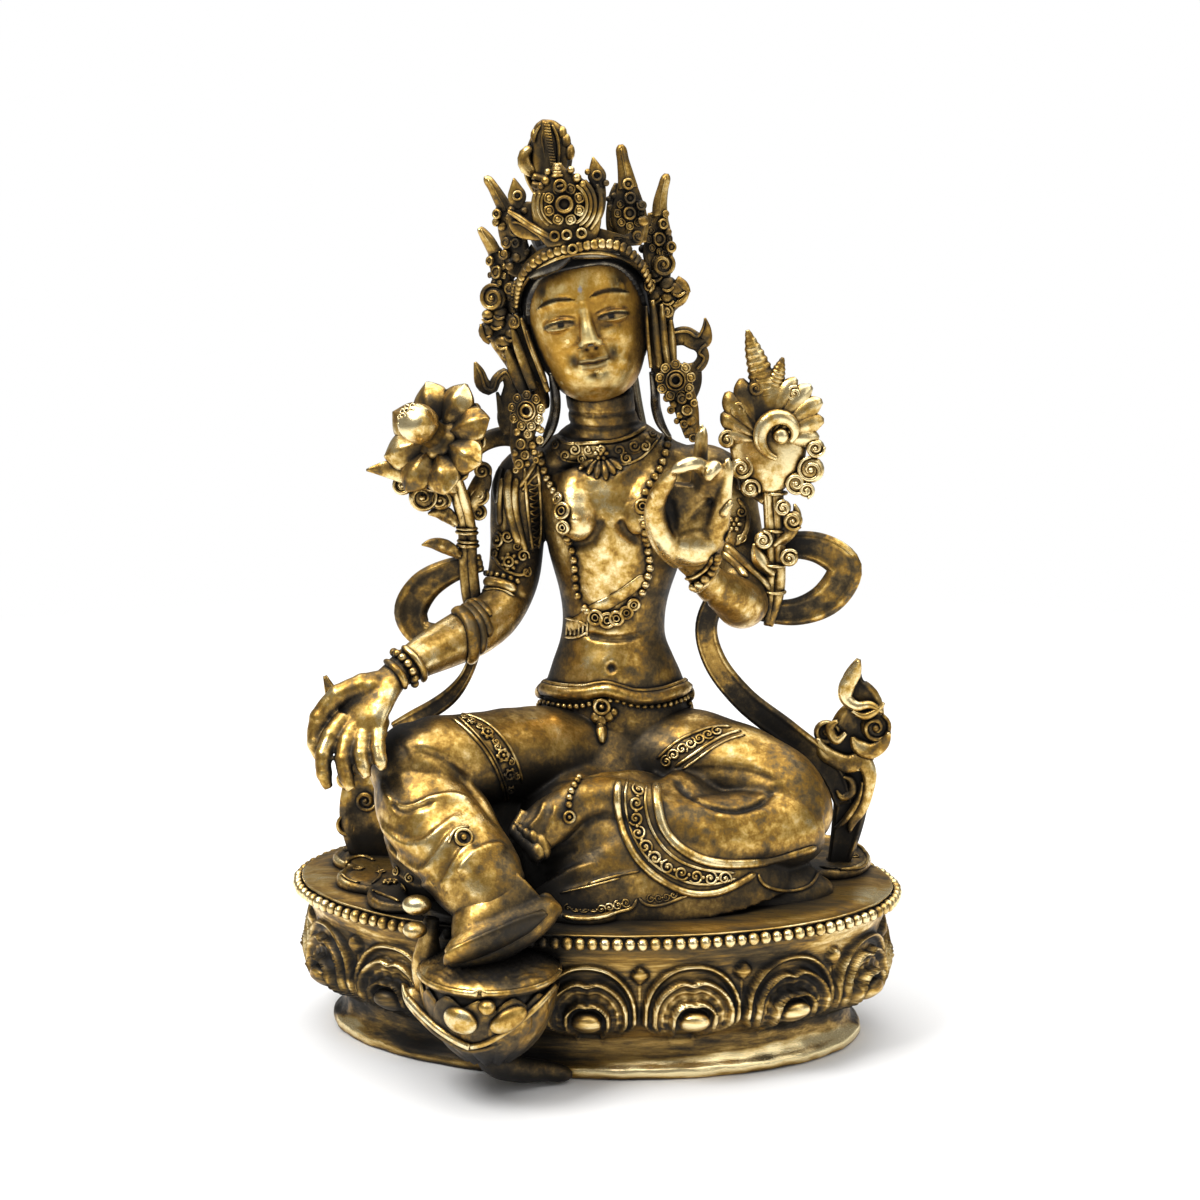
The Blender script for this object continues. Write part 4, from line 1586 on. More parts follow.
def makeCrownSides():
    left, right = unitVector([-0.3, -1, 0.05]), unitVector([0.3, -1, 0.05])
    parts = [
        plate([(312, 492, 520), (322, 484, 524), (334, 486, 530), (346, 494, 535), (358, 502, 541),
               (372, 508, 546), (386, 513, 550), (396, 517, 552)], 1.4, left, 0.9),
        plate([(284, 652, 680), (296, 650, 684), (308, 650, 676), (326, 648, 673), (346, 650, 674),
               (372, 652, 678)],
              1.4, right, 0.9),
    ]
    # left side: a great spiral and folded lobes, then long strands to the ear ornament
    parts += curl(492.6, 298, 3.3, 0, -1, 0.6, left, 0.62, 1.7)
    parts += curl(510, 288, 1.6, -2, 1, 1.0, left, 0.4) + curl(514, 322, 1.7, -3, 1, 0.0, left, 0.42)
    for x, y, w, t in ((497, 322, 2.3, 2.0), (486, 331, 2.0, 2.2), (503, 342, 2.2, 1.7), (508, 353, 1.6, 1.3),
                       (500, 312, 2.0, 1.6), (511, 334, 1.7, 1.5), (488, 315, 1.6, 1.4)):
        parts.append(lump(x, y, w, 0.6, t, 1.1, left))
        parts.append(strip([(x - 6, y + 4, 0.25), (x - 2, y + 7, 0.4), (x + 5, y + 5, 0.3)], -0.6, 0.4, left,
                           sides=6, cuts=12))
    parts.append(strip([(481, 324, 0.4), (484, 338, 0.7), (490, 343, 0.5)], -0.6, 0.5, left, sides=8))
    for line, depth in (([(513, 326, 0.6), (518, 345, 1.2), (526, 368, 1.3), (534, 390, 1.0)], (-2, -4)),
                        ([(522, 318, 0.5), (530, 342, 0.8), (540, 368, 0.8), (548, 392, 0.6)], (-4, -5)),
                        ([(507, 348, 0.6), (512, 364, 1.4), (519, 380, 1.6), (525, 394, 1.2)], (0, -2)),
                        ([(527, 330, 0.3), (536, 356, 0.45), (546, 382, 0.4)], (-5.4, -6))):
        parts.append(strip(line, depth, 1.0, left, sides=10, cuts=24))
    # right side
    parts += curl(663, 264.5, 2.8, 0, 1, 0.6, right, 0.6, 1.6)
    parts += curl(650, 286, 1.5, -3, -1, 1.0, right, 0.4) + curl(667, 312, 1.5, -1, 1, 0.4, right, 0.36)
    for x, y, w, t in ((679, 289, 2.3, 2.2), (668, 284, 2.2, 1.8), (668, 298, 2.0, 1.6), (656, 274, 1.6, 1.5),
                       (655, 296, 1.7, 1.6), (667, 320, 1.3, 1.2)):
        parts.append(lump(x, y, w, 0.6, t, 1.1, right))
        parts.append(strip([(x - 6, y + 5, 0.25), (x, y + 7, 0.4), (x + 6, y + 3, 0.3)], -0.6, 0.4, right,
                           sides=6, cuts=12))
    parts.append(strip([(676, 279, 1.0), (684, 286, 1.2), (689, 293, 0.5)], 0.4, 0.9, right))
    parts.append(strip([(688, 291, 0.5), (682, 301, 0.9), (672, 306, 0.8)], 0.2, 0.8, right))
    for line, depth in (([(652, 300, 0.6), (654, 322, 1.0), (656, 345, 1.1), (660, 368, 0.8)], (-4, -4)),
                        ([(661, 304, 0.6), (662, 326, 1.1), (664, 348, 1.1), (668, 368, 0.8)], (-2, -3)),
                        ([(670, 320, 0.7), (671, 340, 1.3), (672, 356, 1.2), (674, 370, 0.8)], (0, -1)),
                        ([(646, 306, 0.3), (648, 340, 0.45), (651, 368, 0.4)], (-6, -6))):
        parts.append(strip(line, depth, 1.0, right, sides=10, cuts=24))
    # curled ribbons beside the ears
    flat = bandSection(1, 0.35)
    for line, facing in (
        ([(475, 362, 0.3), (479, 372, 1.4), (483, 384, 1.9), (491, 389, 1.5), (497, 379, 1.3),
          (505, 374, 1.5), (511, 384, 1.9), (508, 402, 2.2), (505, 420, 2.0), (508, 434, 1.0)], left),
        ([(497, 392, 0.3), (500, 402, 0.8), (503, 416, 1.2), (507, 426, 1.0)], left),
        ([(673, 338, 2.0), (685, 336, 2.3), (696, 341, 2.2), (704, 340, 1.9), (706.5, 330, 1.2),
          (705, 318, 0.25)], right),
        ([(690, 342, 1.3), (701, 349, 1.4), (703, 358, 1.5), (697, 367, 1.5), (688, 368, 1.2),
          (682, 364, 0.7)], right),
        ([(696, 367, 1.3), (694, 382, 1.9), (691, 396, 1.4), (689, 404, 0.5)], right),
    ):
        parts.append(strip(line, (1, 0.6), 0.8, facing, flat, 16, 36))
    for line, facing in (
        ([(475, 362, 0.2), (481, 374, 0.32), (486, 388, 0.35), (493, 390, 0.32), (498, 378, 0.3),
          (506, 372, 0.3), (513, 384, 0.3)], left),
        ([(673, 333, 0.3), (688, 332, 0.35), (697, 337, 0.32), (702, 330, 0.3), (705, 318, 0.2)], right),
        ([(706, 344, 0.3), (699, 353, 0.35), (704, 358, 0.3), (697, 369, 0.3)], right),
    ):
        parts.append(strip(line, -0.3, 0.4, facing, sides=8, cuts=30))
    # ear ornaments: a rosette and a hanging cluster that grows narrower
    for x, y, facing, cluster in (
        (526.5, 411, left, [(517, 432, 1.0), (528, 434, 1.1), (538, 428, 1.0), (520.8, 444, 1.4),
                            (532, 445, 1.1), (540, 440, 1.0), (515, 453, 1.0), (525, 455, 1.2),
                            (534, 452, 0.9), (519, 464, 1.3), (527, 463, 0.9), (516, 470, 0.7),
                            (541, 430, 0.9), (536, 460, 0.7)]),
        (675.6, 380.4, right, [(667, 398, 1.0), (682, 399, 1.2), (674, 404, 1.0), (687, 410, 1.4),
                               (680, 415, 1.0), (671, 410, 0.9), (691, 421, 1.2), (684, 424, 1.0),
                               (690, 431, 1.2), (693, 438, 1.0), (677, 421, 0.8), (694, 403, 0.9),
                               (686, 433, 0.7), (689, 396, 0.8)]),
    ):
        middle = atDepth(x, y, -5.4)
        parts += loop(x, y, 1.3, -7.4, facing, 0.42) + loop(x, y, 2.2, -6.8, facing, 0.3)
        parts.append(ball(middle, (4.3, 4.3, 1.3), facing, 24, 10, 0))
        parts += cuppedPetals(x, y, 3.75, 0.92, 9, -6.4, facing)
        inner = cluster[3]
        parts.append(strip([(x, y, 3.6), ((x + inner[0]) / 2, (y + inner[1]) / 2, 3.4),
                            (inner[0], inner[1], 2.9), (cluster[9][0], cluster[9][1], 1.5),
                            (cluster[11][0], cluster[11][1], 0.4)],
                           (-4.4, -3.4), 1.4, facing, sides=16, cuts=30))
        for k, (px, py, size) in enumerate(cluster):
            depth = -7.2 + 0.035 * (py - y)
            if k % 2:
                parts += loop(px, py, size * 0.78, depth, facing, 0.3)
            parts.append(lump(px, py, size, depth + 0.5, size, 0.75, facing))
    return parts


crownSides = makePiece("crown_sides_and_ear_drops", makeCrownSides())
finishPiece(crownSides, crownBrass, "tara_figure")


def makeTopJewel():  # a lumpy bud with a ribbed strip down its front
    depth = 3

    def folded(a, t):
        r = 1 + 0.07 * np.cos(7 * a + 2 * t) - 0.02
        return np.cos(a) * r, np.sin(a) * r
    parts = [strip([(553, 197, 4.6), (552.5, 184, 4.5), (552, 174, 4.2), (551.5, 162, 4.7),
                    (551.5, 149, 4.75), (549, 138, 4.3), (545.5, 128, 3.3), (543.5, 122, 1.9),
                    (543, 119.8, 0.4)], depth, 3.6, section=folded, sides=42, cuts=44)]
    parts.append(strip([(533, 149, 0.9), (527, 152, 1.5), (524.5, 159, 1.75), (527, 167, 1.9),
                        (535, 172, 1.4)], depth - 1, 1.6))
    for x, y, w, t in ((565.5, 141, 1.3, 1.9), (570, 152, 1.2, 2.0), (562, 133, 1.2, 1.7),
                       (535, 136, 1.1, 1.8)):
        parts.append(lump(x, y, w, depth - 1.6, t, 1.3))
    for x, y, w, t in ((538.5, 151, 5.2, 10), (564, 152, 4.2, 8.5), (526.5, 160, 3.6, 5)):
        turns = np.radians(np.linspace(20, 335, 10))
        line = [(x + math.sin(a) * w, y - math.cos(a) * t, 0.34) for a in turns]
        parts.append(strip(line, depth - 3.2 + 0.16 * abs(x - 550), 0.45, sides=8, cuts=26))
        parts.append(lump(x, y, w * 0.14, depth - 3.1 + 0.16 * abs(x - 550), t * 0.14, 0.5))
    parts.append(strip([(546, 122, 0.7), (548, 135, 1.0), (550.5, 150, 1.05), (553, 166, 0.8)], depth - 3.3,
                       0.7, cuts=24))
    for k in range(14):
        y = 125 + k * 2.9
        parts.append(strip([(543.8 + k * 0.5, y, 0.26), (550 + k * 0.46, y + 0.8, 0.26)], depth - 3.9, 0.36,
                           sides=6, cuts=6))
    for line in ([(541, 125, 0.3), (536, 133, 0.4), (534, 142, 0.3)],
                 [(552, 125, 0.3), (557, 136, 0.4), (559, 150, 0.4), (558, 164, 0.3)],
                 [(544, 128, 0.25), (542, 138, 0.3), (544, 150, 0.3), (546, 164, 0.25)]):
        parts.append(strip(line, depth - 3.2, 0.45, sides=8, cuts=20))
    parts.append(strip([(533, 176, 0.8), (548, 180, 1.2), (566, 177, 0.8)], depth - 3.0, 1.0))
    parts.append(strip([(532, 184, 0.8), (549, 188, 1.2), (570, 184, 0.8)], depth - 3.4, 1.0))
    back = []
    for k in range(5):  # plainer petals at the back
        a = (k - 2) * 0.6
        c, d = math.sin(a), math.cos(a)
        back.append(headLimb([[-3.2 + c * 3.2, 2.6 + d * 3, 31, 1.4, 0.8],
                              [-3.4 + c * 4.6, 2.4 + d * 4, 36, 2, 0.9],
                              [-3.5 + c * 3.4, 2.2 + d * 3, 41, 1.4, 0.8],
                              [-3.5 + c * 1.4, 2.2 + d, 45, 0.4, 0.4]],
                             10, 16, facing=[[c, d, 0]] * 2, section=leafSection(0.5)))
    return parts + onHead(back)


topJewel = makePiece("hair_jewel", makeTopJewel())
finishPiece(topJewel, crownBrass, "tara_figure")
print("crown ready")


# Open lotus on its stem beside the right arm

openLook = dict(middle=(-36.6, -7, 108.2), facing=(-0.36, -0.86, 0.36), petals=8)


def ridged(a, t):  # a roof-like ridge down the middle of a petal
    grow = 1 / (np.abs(np.cos(a)) + np.abs(np.sin(a))) ** 0.9
    return np.cos(a) * grow, np.sin(a) * grow * (1 + 0.9 * (np.sin(a) > 0))


def makeOpenLotus():
    axes = turnTo(openLook["facing"])
    parts = []

    def at(x, y, z):
        return np.asarray(openLook["middle"]) + axes @ np.array([x, y, z], float)

    for k in range(openLook["petals"]):
        a = (k + 0.5) / openLook["petals"] * 2 * math.pi
        c, s = math.cos(a), math.sin(a)
        out = axes[:, 2]
        rows = [[*at(c * 2.6, s * 2.6, -1.2), 1.6, 1.0], [*at(c * 6, s * 6, 0.4), 3.1, 1.1],
                [*at(c * 9.6, s * 9.6, 1.0), 4.7, 1.3], [*at(c * 12.2, s * 12.2, 0.8), 3.9, 1.1],
                [*at(c * 14.6, s * 14.6, 1.2), 0.5, 0.4]]
        parts.append(limb(rows, 24, 24, facing=[out, out], section=ridged))
        b = a + math.pi / openLook["petals"]
        c, s = math.cos(b), math.sin(b)
        rows = [[*at(c * 5, s * 5, -1.6), 2.6, 0.9], [*at(c * 9.6, s * 9.6, -1.2), 3.4, 0.9],
                [*at(c * 12.6, s * 12.6, -0.6), 0.8, 0.5]]
        parts.append(limb(rows, 12, 14, facing=[out, out], section=leafSection(0.6)))

    def pod(z):
        return at(0, 0, z) + max(z, 0) * np.array([-0.2, 0, 0.26])

    podRows = [[*pod(z), r, r] for z, r in ((-4, 3), (-1, 4.6), (0.8, 4.9), (1.4, 3.6), (2.6, 3.3),
                                            (4.4, 3.5), (5.4, 4.5), (7.0, 4.7), (8.2, 4.5), (9.6, 3.6),
                                            (10.4, 1.8), (10.7, 0.3))]

    def facets(a, t):
        grow = 1 + 0.07 * np.abs(np.cos(a * 4)) * (t < 0.62)
        return np.cos(a) * grow, np.sin(a) * grow

    parts.append(limb(podRows, 40, 44, side=axes[:, 0], section=facets))
    for k in range(19):  # seeds in the pod's face
        r = 0 if k == 0 else (1.5 if k < 7 else 2.9)
        a = k * 2 * math.pi / (6 if k < 7 else 12)
        parts.append(ring(pod(10.5 - 0.12 * r * r) + axes @ np.array([r * math.cos(a), r * math.sin(a), 0]),
                          axes[:, 2], 0.55, 0.22, 10, 6))
    for dx in (-0.9, 0.9):
        parts.append(limb([[-36 + dx, -4, 103, 1.5, 1.5], [-33 + dx, -0.6, 94, 1.4, 1.4],
                           [-31.4 + dx, 0.8, 86, 1.4, 1.4], [-31.2 + dx, 1.2, 77, 1.4, 1.4],
                           [-30.4 + dx, 1, 68, 1.4, 1.4], [-29.4, 0.4, 62, 1, 1]], 12, 50))
    for x, y, z in ((-31.4, 1, 84.6), (-31.2, 1.1, 81.4)):
        parts.append(ring((x, y, z), (0.05, 0, 1), 2.5, 0.42, 18, 6))
        parts.append(ring((x, y, z + 1.0), (0.05, 0, 1), 2.4, 0.36, 18, 6))
    parts.append(limb([[-33, -1, 100, 2, 1.4], [-28, 2, 106, 2.2, 1.6], [-22, 6, 107.6, 2.4, 1.8],
                       [-16, 8.6, 105, 2.4, 2]],
                      14, 24, facing=frontFace, section=bandSection(3, 0.3)))
    leaves = [
        [[-33.4, -2, 95, 1.4, 1.1], [-40, -3.6, 98.4, 3.4, 1.2], [-48, -4.4, 100.4, 2.6, 1.0],
         [-54.8, -4.4, 100.2, 0.3, 0.4]],
        [[-33, 0, 79, 1, 1], [-36.4, -1.4, 81.4, 1.8, 1.0], [-39.4, -2, 82.2, 1.3, 0.8],
         [-42, -2.2, 81.8, 0.2, 0.3]],
        [[-32.6, 1, 88, 1.2, 1.2], [-29, 2, 94, 2.6, 1.3], [-27.4, 2.6, 98.6, 2.0, 1.1],
         [-28.4, 2.8, 102, 0.4, 0.4]],
        [[-33.6, 0, 86.6, 1, 1], [-37, -1, 89.6, 1.9, 1.0], [-40.4, -2, 89.4, 0.3, 0.3]],
    ]
    for rows in leaves:
        parts.append(limb(rows, 14, 22, facing=frontFace, section=leafSection(0.8, 5, 0.2)))
    for x, y, z, r, hand, start in ((-41.4, -3.4, 93.6, 3.6, 1, 0.6), (-46.2, -3.6, 96.4, 2.4, -1, 0),
                                    (-37.2, -3.0, 93.0, 2.6, -1, 2.2), (-28.6, 1.2, 93.6, 2.6, 1, 1),
                                    (-27.6, 1.6, 99.6, 2.2, -1, 2), (-28.6, 1.4, 89.4, 2.0, 1, 0)):
        parts += cushionedScroll((x, y, z), (0, -1, 0.05), r, 0.52, hand, start, 0.9, 1.1)
    return parts


openLotus = makePiece("open_lotus", makeOpenLotus())
finishPiece(openLotus, ornamentBrass, "tara_figure")


# Half open lotus at the left arm

def makeHalfOpenLotus():
    hx, hy, hz = 41, -1, 108
    out = (0, -1, 0)
    parts = [limb([[42, -0.4, 96, 3, 2], [41.8, -0.6, 101, 7.6, 2.6], [41.4, -0.8, 107, 9.2, 2.8],
                   [41, -0.8, 113, 9, 2.8], [40.6, -0.8, 118, 6.6, 2.4], [39.8, -0.9, 122, 4.2, 2.2]], 28, 34,
                  facing=frontFace)]

    def ripples(a, t):
        return np.cos(a) * (1 + 0.06 * np.cos(t * 60)), np.sin(a) * (1 + 0.06 * np.cos(t * 60))
    parts.append(limb([[40.6, -0.9, 119, 3.6, 2.2], [39.4, -1.2, 124, 3.0, 2.0],
                       [37.6, -1.6, 129.6, 2.0, 1.5], [36.2, -2, 134.2, 0.5, 0.5]], 18, 60, section=ripples))
    parts.append(limb([[41.4, -1, 119, 2.4, 1.8], [43.2, -1.2, 123.4, 2.0, 1.6],
                       [44.6, -1.6, 127.8, 0.4, 0.4]], 16, 40,
                      section=ripples))
    for degrees, reach, wide in ((-62, 12.5, 2.6), (-44, 15, 2.8), (-27, 16, 2.7), (20, 16.4, 2.6),
                                 (34, 16.8, 2.7), (49, 16.2, 2.7), (65, 14.4, 2.6), (82, 12.4, 2.4),
                                 (-80, 10.4, 2.4)):
        a = math.radians(degrees)

        def at(r, bend=0.0):
            return [hx + math.sin(a + bend) * r, hy - 0.4, hz + math.cos(a + bend) * r]
        parts.append(limb([[*at(3), 1.4, 1.8], [*at(reach * 0.55), wide, 2.0],
                           [*at(reach * 0.86, 0.04), wide * 0.86, 1.6], [*at(reach, 0.08), 0.6, 0.6]], 14, 20,
                          facing=frontFace, section=leafSection(0.7)))
    widths = [0.6, 0.9, 1.2, 1.5, 1.7, 1.9, 2.0, 2.0, 1.9, 1.8, 1.6, 1.4, 1.2, 1.0, 0.8, 0.6]
    big = []
    for t, r, w in zip(np.linspace(3.3, 8.6, 16), np.linspace(5.8, 2.6, 16), widths):
        x, y, z = hx + 3.6 + math.sin(t) * r, hy - 3.4 - 0.8 * math.sin(t / 2), hz + 2 + math.cos(t) * r
        big.append([x, y, z, w, w * 0.8])
    parts.append(limb(big, 14, 54, facing=frontFace))
    parts.append(ball((hx + 3.4, hy - 3.0, hz + 1.6), (2.0, 2.0, 1.4), out, 20, 10))
    for x, z, r, hand, start in ((51.6, 101.4, 3.2, -1, 0), (52.6, 106.6, 2.2, 1, 1.4),
                                 (48.2, 98.2, 2.6, 1, 2.4), (35.2, 101.6, 2.8, 1, 0.4),
                                 (31.8, 108.4, 2.2, -1, 1), (34.6, 115.6, 2.2, 1, 2),
                                 (47.4, 119.4, 1.9, -1, 0.4), (38.4, 120.6, 1.9, 1, 0),
                                 (37.4, 96.8, 2.3, -1, 2), (50.6, 96.6, 1.9, -1, 3), (40.6, 84.4, 2.2, 1, 0),
                                 (46.8, 80.2, 2.2, -1, 1), (47.6, 89.2, 2.3, 1, 2.2),
                                 (45.2, 92.2, 1.9, -1, 0.2)):
        parts += cushionedScroll((x, hy - 1.8, z), out, r, 0.5, hand, start, 1, 1.2)
    for dx in (-1.0, 1.0):
        parts.append(limb([[42.4 + dx, -0.6, 99, 1.6, 1.6], [43 + dx, 0, 90, 1.5, 1.5],
                           [43.4 + dx, 0.6, 80, 1.5, 1.5], [43.2 + dx, 1.4, 71, 1.5, 1.5],
                           [42, 2, 63, 1.2, 1.2]], 12, 44))
    for z in (95.4, 86.4, 78, 71.4):
        parts.append(ring((43.2, 0.6, z), (0, 0, 1), 2.7, 0.42, 18, 6))
    parts.append(limb([[41.4, 0, 94, 1.8, 1.6], [36, 3.4, 97, 2.2, 1.4], [31, 6, 97.6, 2.0, 1.4],
                       [27, 8, 97, 1.6, 1.6]],
                      14, 22, facing=frontFace, section=bandSection(2, 0.3)))
    for rows in ([[43, 0, 83, 1.4, 1.2], [46.8, -0.6, 86.6, 1.9, 1.0], [48.4, -0.8, 90.4, 1.2, 0.8],
                  [47.8, -0.8, 93, 0.3, 0.3]],
                 [[43, 0, 76, 1.2, 1.2], [39.6, -1, 79.6, 1.8, 1.0], [38.4, -1.2, 83.4, 0.4, 0.4]]):
        parts.append(limb(rows, 12, 18, facing=frontFace, section=leafSection(0.7)))
    return parts


halfOpenLotus = makePiece("half_open_lotus", makeHalfOpenLotus())
finishPiece(halfOpenLotus, ornamentBrass, "tara_figure")
print("flowers ready")


# Scarves: grooved strips, with loops beside the arms and curled ends on the seat

def makeScarves():
    strips = [
        ([[-28, 2, 77, 2.2, 1.2], [-36.6, 3, 74.4, 3.2, 1.3], [-43, 3.6, 70, 4, 1.3],
          [-46, 3.6, 64, 4.2, 1.3], [-43.6, 3, 59.2, 3.6, 1.3], [-36, 0, 59, 3, 1.3],
          [-28, -3, 62, 2.2, 1.3]], 3),
        ([[36, 3, 78, 2.4, 1.2], [46.4, 3.6, 82.2, 3.2, 1.3], [54.6, 4, 81.4, 3.8, 1.3],
          [60, 4, 77, 4.2, 1.3], [56.6, 4, 70, 4.2, 1.3], [49, 3.4, 66.2, 3.4, 1.3], [38, 2, 67, 2.6, 1.3]],
         3),
        ([[31, 3, 72, 2.6, 1.3], [26.8, 4.8, 62, 2.7, 1.3], [28.8, 6, 53, 2.9, 1.3], [36, 7, 43.4, 3.1, 1.3],
          [47, 7.8, 34.6, 3.3, 1.3], [57, 8.6, 26, 3.0, 1.3], [61, 9, 17, 2.4, 1.3]], 4),
        ([[-28.1, -4, 59.0, 1.0, 1.1], [-29.3, -3, 54.8, 1.3, 1.1], [-31.9, -1, 49.0, 1.5, 1.1],
          [-35.4, 0, 44.4, 2.0, 1.1], [-39.8, 1, 40.8, 2.2, 1.1], [-45.5, 2, 37.6, 2.0, 1.1],
          [-50.5, 3, 35.0, 1.4, 1.1]], 3),
        ([[59.6, 9.6, 0.2, 2.6, 2], [61.8, 10.2, 10, 3.8, 1.9], [62.8, 10.6, 19, 4.6, 1.8],
          [61.6, 11, 28, 6.4, 1.8], [64, 11, 35.6, 6.6, 1.8], [65.4, 11.2, 42, 4.6, 1.7],
          [62.6, 11.4, 47, 3, 1.5], [64, 11.6, 53, 0.6, 0.8]], 4),
        ([[-52, 3, 0.2, 9, 2], [-56.6, 2, 12, 8, 1.9], [-56.4, 3, 24, 7, 1.8], [-63.4, 3.6, 35, 3.7, 1.7],
          [-66, 4, 42, 2, 1.2], [-68, 4, 47.4, 0.5, 0.6]], 4),
    ]
    parts = [limb(rows, 32, 50, facing=frontFace, section=bandSection(grooves, 0.45)) for rows,
             grooves in strips]
    for x, y, z, r, hand, start in ((68.4, 8.6, 36.4, 3.8, 1, 0.4), (56.4, 8.8, 34.6, 3.2, -1, 1.4),
                                    (-62.4, 1.4, 9.6, 3.0, -1, 0.4), (-57.6, 1, 16.4, 2.6, 1, 2),
                                    (-62.6, 1.6, 21.4, 2.5, -1, 1), (-59.4, 1.8, 29.4, 2.4, 1, 2.4)):
        parts += cushionedScroll((x, y, z), (0, -1, 0.05), r, 0.6, hand, start, 1.4, 1.5)
    parts.append(limb([[-24, 10, 95, 4, 1.6], [-15, 17, 94, 4.4, 1.6], [4, 21.4, 90, 4.6, 1.6],
                       [23, 17, 94, 4.4, 1.6], [32, 11, 95, 4, 1.6]], 40, 50,
                      facing=[[-0.6, 1, 0.2], [0, 1, 0.2], [0.6, 1, 0.2]], section=bandSection(3, 0.35)))
    return parts


scarves = makePiece("scarves", makeScarves())
finishPiece(scarves, scarfBrass, "tara_figure")

# Raised faces of the flame at the end of the left scarf, by points of the picture with their half widths
flameLines = [
    [(859, 660, 0.5), (855, 672, 1.6), (847, 686, 2.0), (846, 698, 1.7), (856, 706, 1.3), (870, 705, 1.0),
     (882, 712, 0.6)],
    [(852, 711, 0.5), (864, 716, 1.0), (876, 711, 0.9), (884, 703, 0.4)],
    [(818, 738, 0.6), (822, 750, 1.9), (834, 759, 2.1), (848, 764, 2.3), (862, 762, 2.3), (869, 773, 1.9),
     (868, 790, 1.5), (862, 808, 1.4), (852, 822, 1.2), (849, 832, 0.5)],
    [(852, 737, 0.6), (858, 746, 1.8), (870, 751, 2.0), (883, 744, 1.5), (889, 732, 0.6)],
    [(838, 721, 0.5), (830, 728, 1.2), (836, 740, 1.2), (846, 733, 0.6)],
    [(836, 790, 0.5), (842, 797, 1.0), (852, 792, 1.1), (851, 781, 0.9), (843, 777, 0.4)],
    [(836, 828, 0.5), (846, 819, 0.9), (858, 800, 0.8), (862, 782, 0.4)],
]
flame = makePiece("scarf_flame", [
    limb([[*atDepth(x, y, 8.2), wide, 0.9] for x, y, wide in line], 12, 40,
         facing=[unitVector([0.1, -0.97, 0.2])] * 2, rise=0) for line in flameLines])
finishPiece(flame, ornamentBrass, "tara_figure")
print("scarves ready")


# Jewellery and dress. The lists hold points of the picture, whose places are found on the finished skins.

bodySkin = skinOf(torso, legs, rightFoot, cloth, pad, pedestal, head)


def placesOn(points, lift=0.0):  # the seen places under a line of picture points, close together
    line = alongRows([[x, y, 0] for x, y in points], np.linspace(0, 1, max(6, 4 * len(points))))
    found = seenAlong(bodySkin, line, lift)
    steps = [np.linalg.norm(b[0] - a[0]) for a, b in zip(found, found[1:])]
    runs = [[found[0]]]
    for place, step in zip(found[1:], steps):  # a line never crosses the air from one form to another
        if step > max(4, 3 * np.median(steps)):
            runs.append([])
        runs[-1].append(place)
    longest = max(runs, key=len)
    return longest if len(longest) > 2 else found


def cordOn(points, thick, lift=0.0, wide=None, sides=8, section=roundSection):
    found = placesOn(points, lift)
    rows = [[*p, wide or thick, thick] for p, _ in found]
    for row in (rows[0], rows[-1]):
        row[3:] = [row[3] * 0.6, row[4] * 0.6]
    cuts = max(6, int(lineLength(rows) / cutPitch))
    return limb(rows, sides, cuts, facing=[n for _, n in found], section=section, rise=0)


def beadsOn(points, radius, pitch, lift=0.0, around=8, rings=6):
    rows = [[*p, 1, 1] for p, _ in placesOn(points, lift + radius * 0.4)]
    return beadsAlong(rows, radius, pitch, around, rings)


def ringOn(across, high, radius, thick=0.3, eye=True, lift=0.4):
    found = seenAt(bodySkin, across, high, lift)
    if not found:
        return []
    parts = [ring(found[0], found[1], radius, thick, 18, 8, 0)]
    if eye:
        parts.append(ball(found[0], (radius * 0.42,) * 3, found[1], 10, 8, 0))
    return parts


def scrollOn(across, high, radius, hand=1, lift=0.3, thick=0.34, start=0.0):
    found = seenAt(bodySkin, across, high, lift)
    if not found:
        return []
    return scroll(found[0], found[1], (0, 0, 1), radius, 1.4, thick, hand, 0, start)


def rosetteOn(across, high, radius, petals=6, lift=0.3):
    found = seenAt(bodySkin, across, high, lift)
    return rosette(found[0], found[1], radius, petals, 0.42, 0) if found else []


def leafOn(points, wide, thick=0.8, lift=0.3):
    found = placesOn(points, lift)
    share = np.linspace(0, 1, len(found))
    grow = np.sin(np.clip(share * 0.86 + 0.1, 0, 1) * math.pi) ** 0.7
    rows = [[*p, wide * g + 0.1, thick * (0.4 + 0.6 * g)] for (p, _), g in zip(found, grow)]
    return limb(rows, 12, 18, facing=[n for _, n in found], section=leafSection(0.6), rise=0)


def scrollRow(points, radius, count, lift=0.25, thick=0.32):  # an engraved border of running scrolls
    found = placesOn(points, lift)
    rows = [[*p, 1, 1] for p, _ in found]
    share = (np.arange(count) + 0.5) / count
    where = alongRows(rows, share)[:, :3]
    facing = np.array([n for _, n in found])
    parts = []
    for k, (p, s) in enumerate(zip(where, share)):
        n = facing[int(s * (len(facing) - 1))]
        hand = 1 if k % 2 else -1
        parts.append(scroll(p, n, (0, 0, 1), radius, 1.35, thick, hand, 0, k * 2.1))
        if k + 1 < count:  # a dot between two scrolls
            q = (p + where[k + 1]) / 2
            parts.append(ball(q, (radius * 0.3, radius * 0.3, radius * 0.3), n, 8, 6, 0))
    return parts


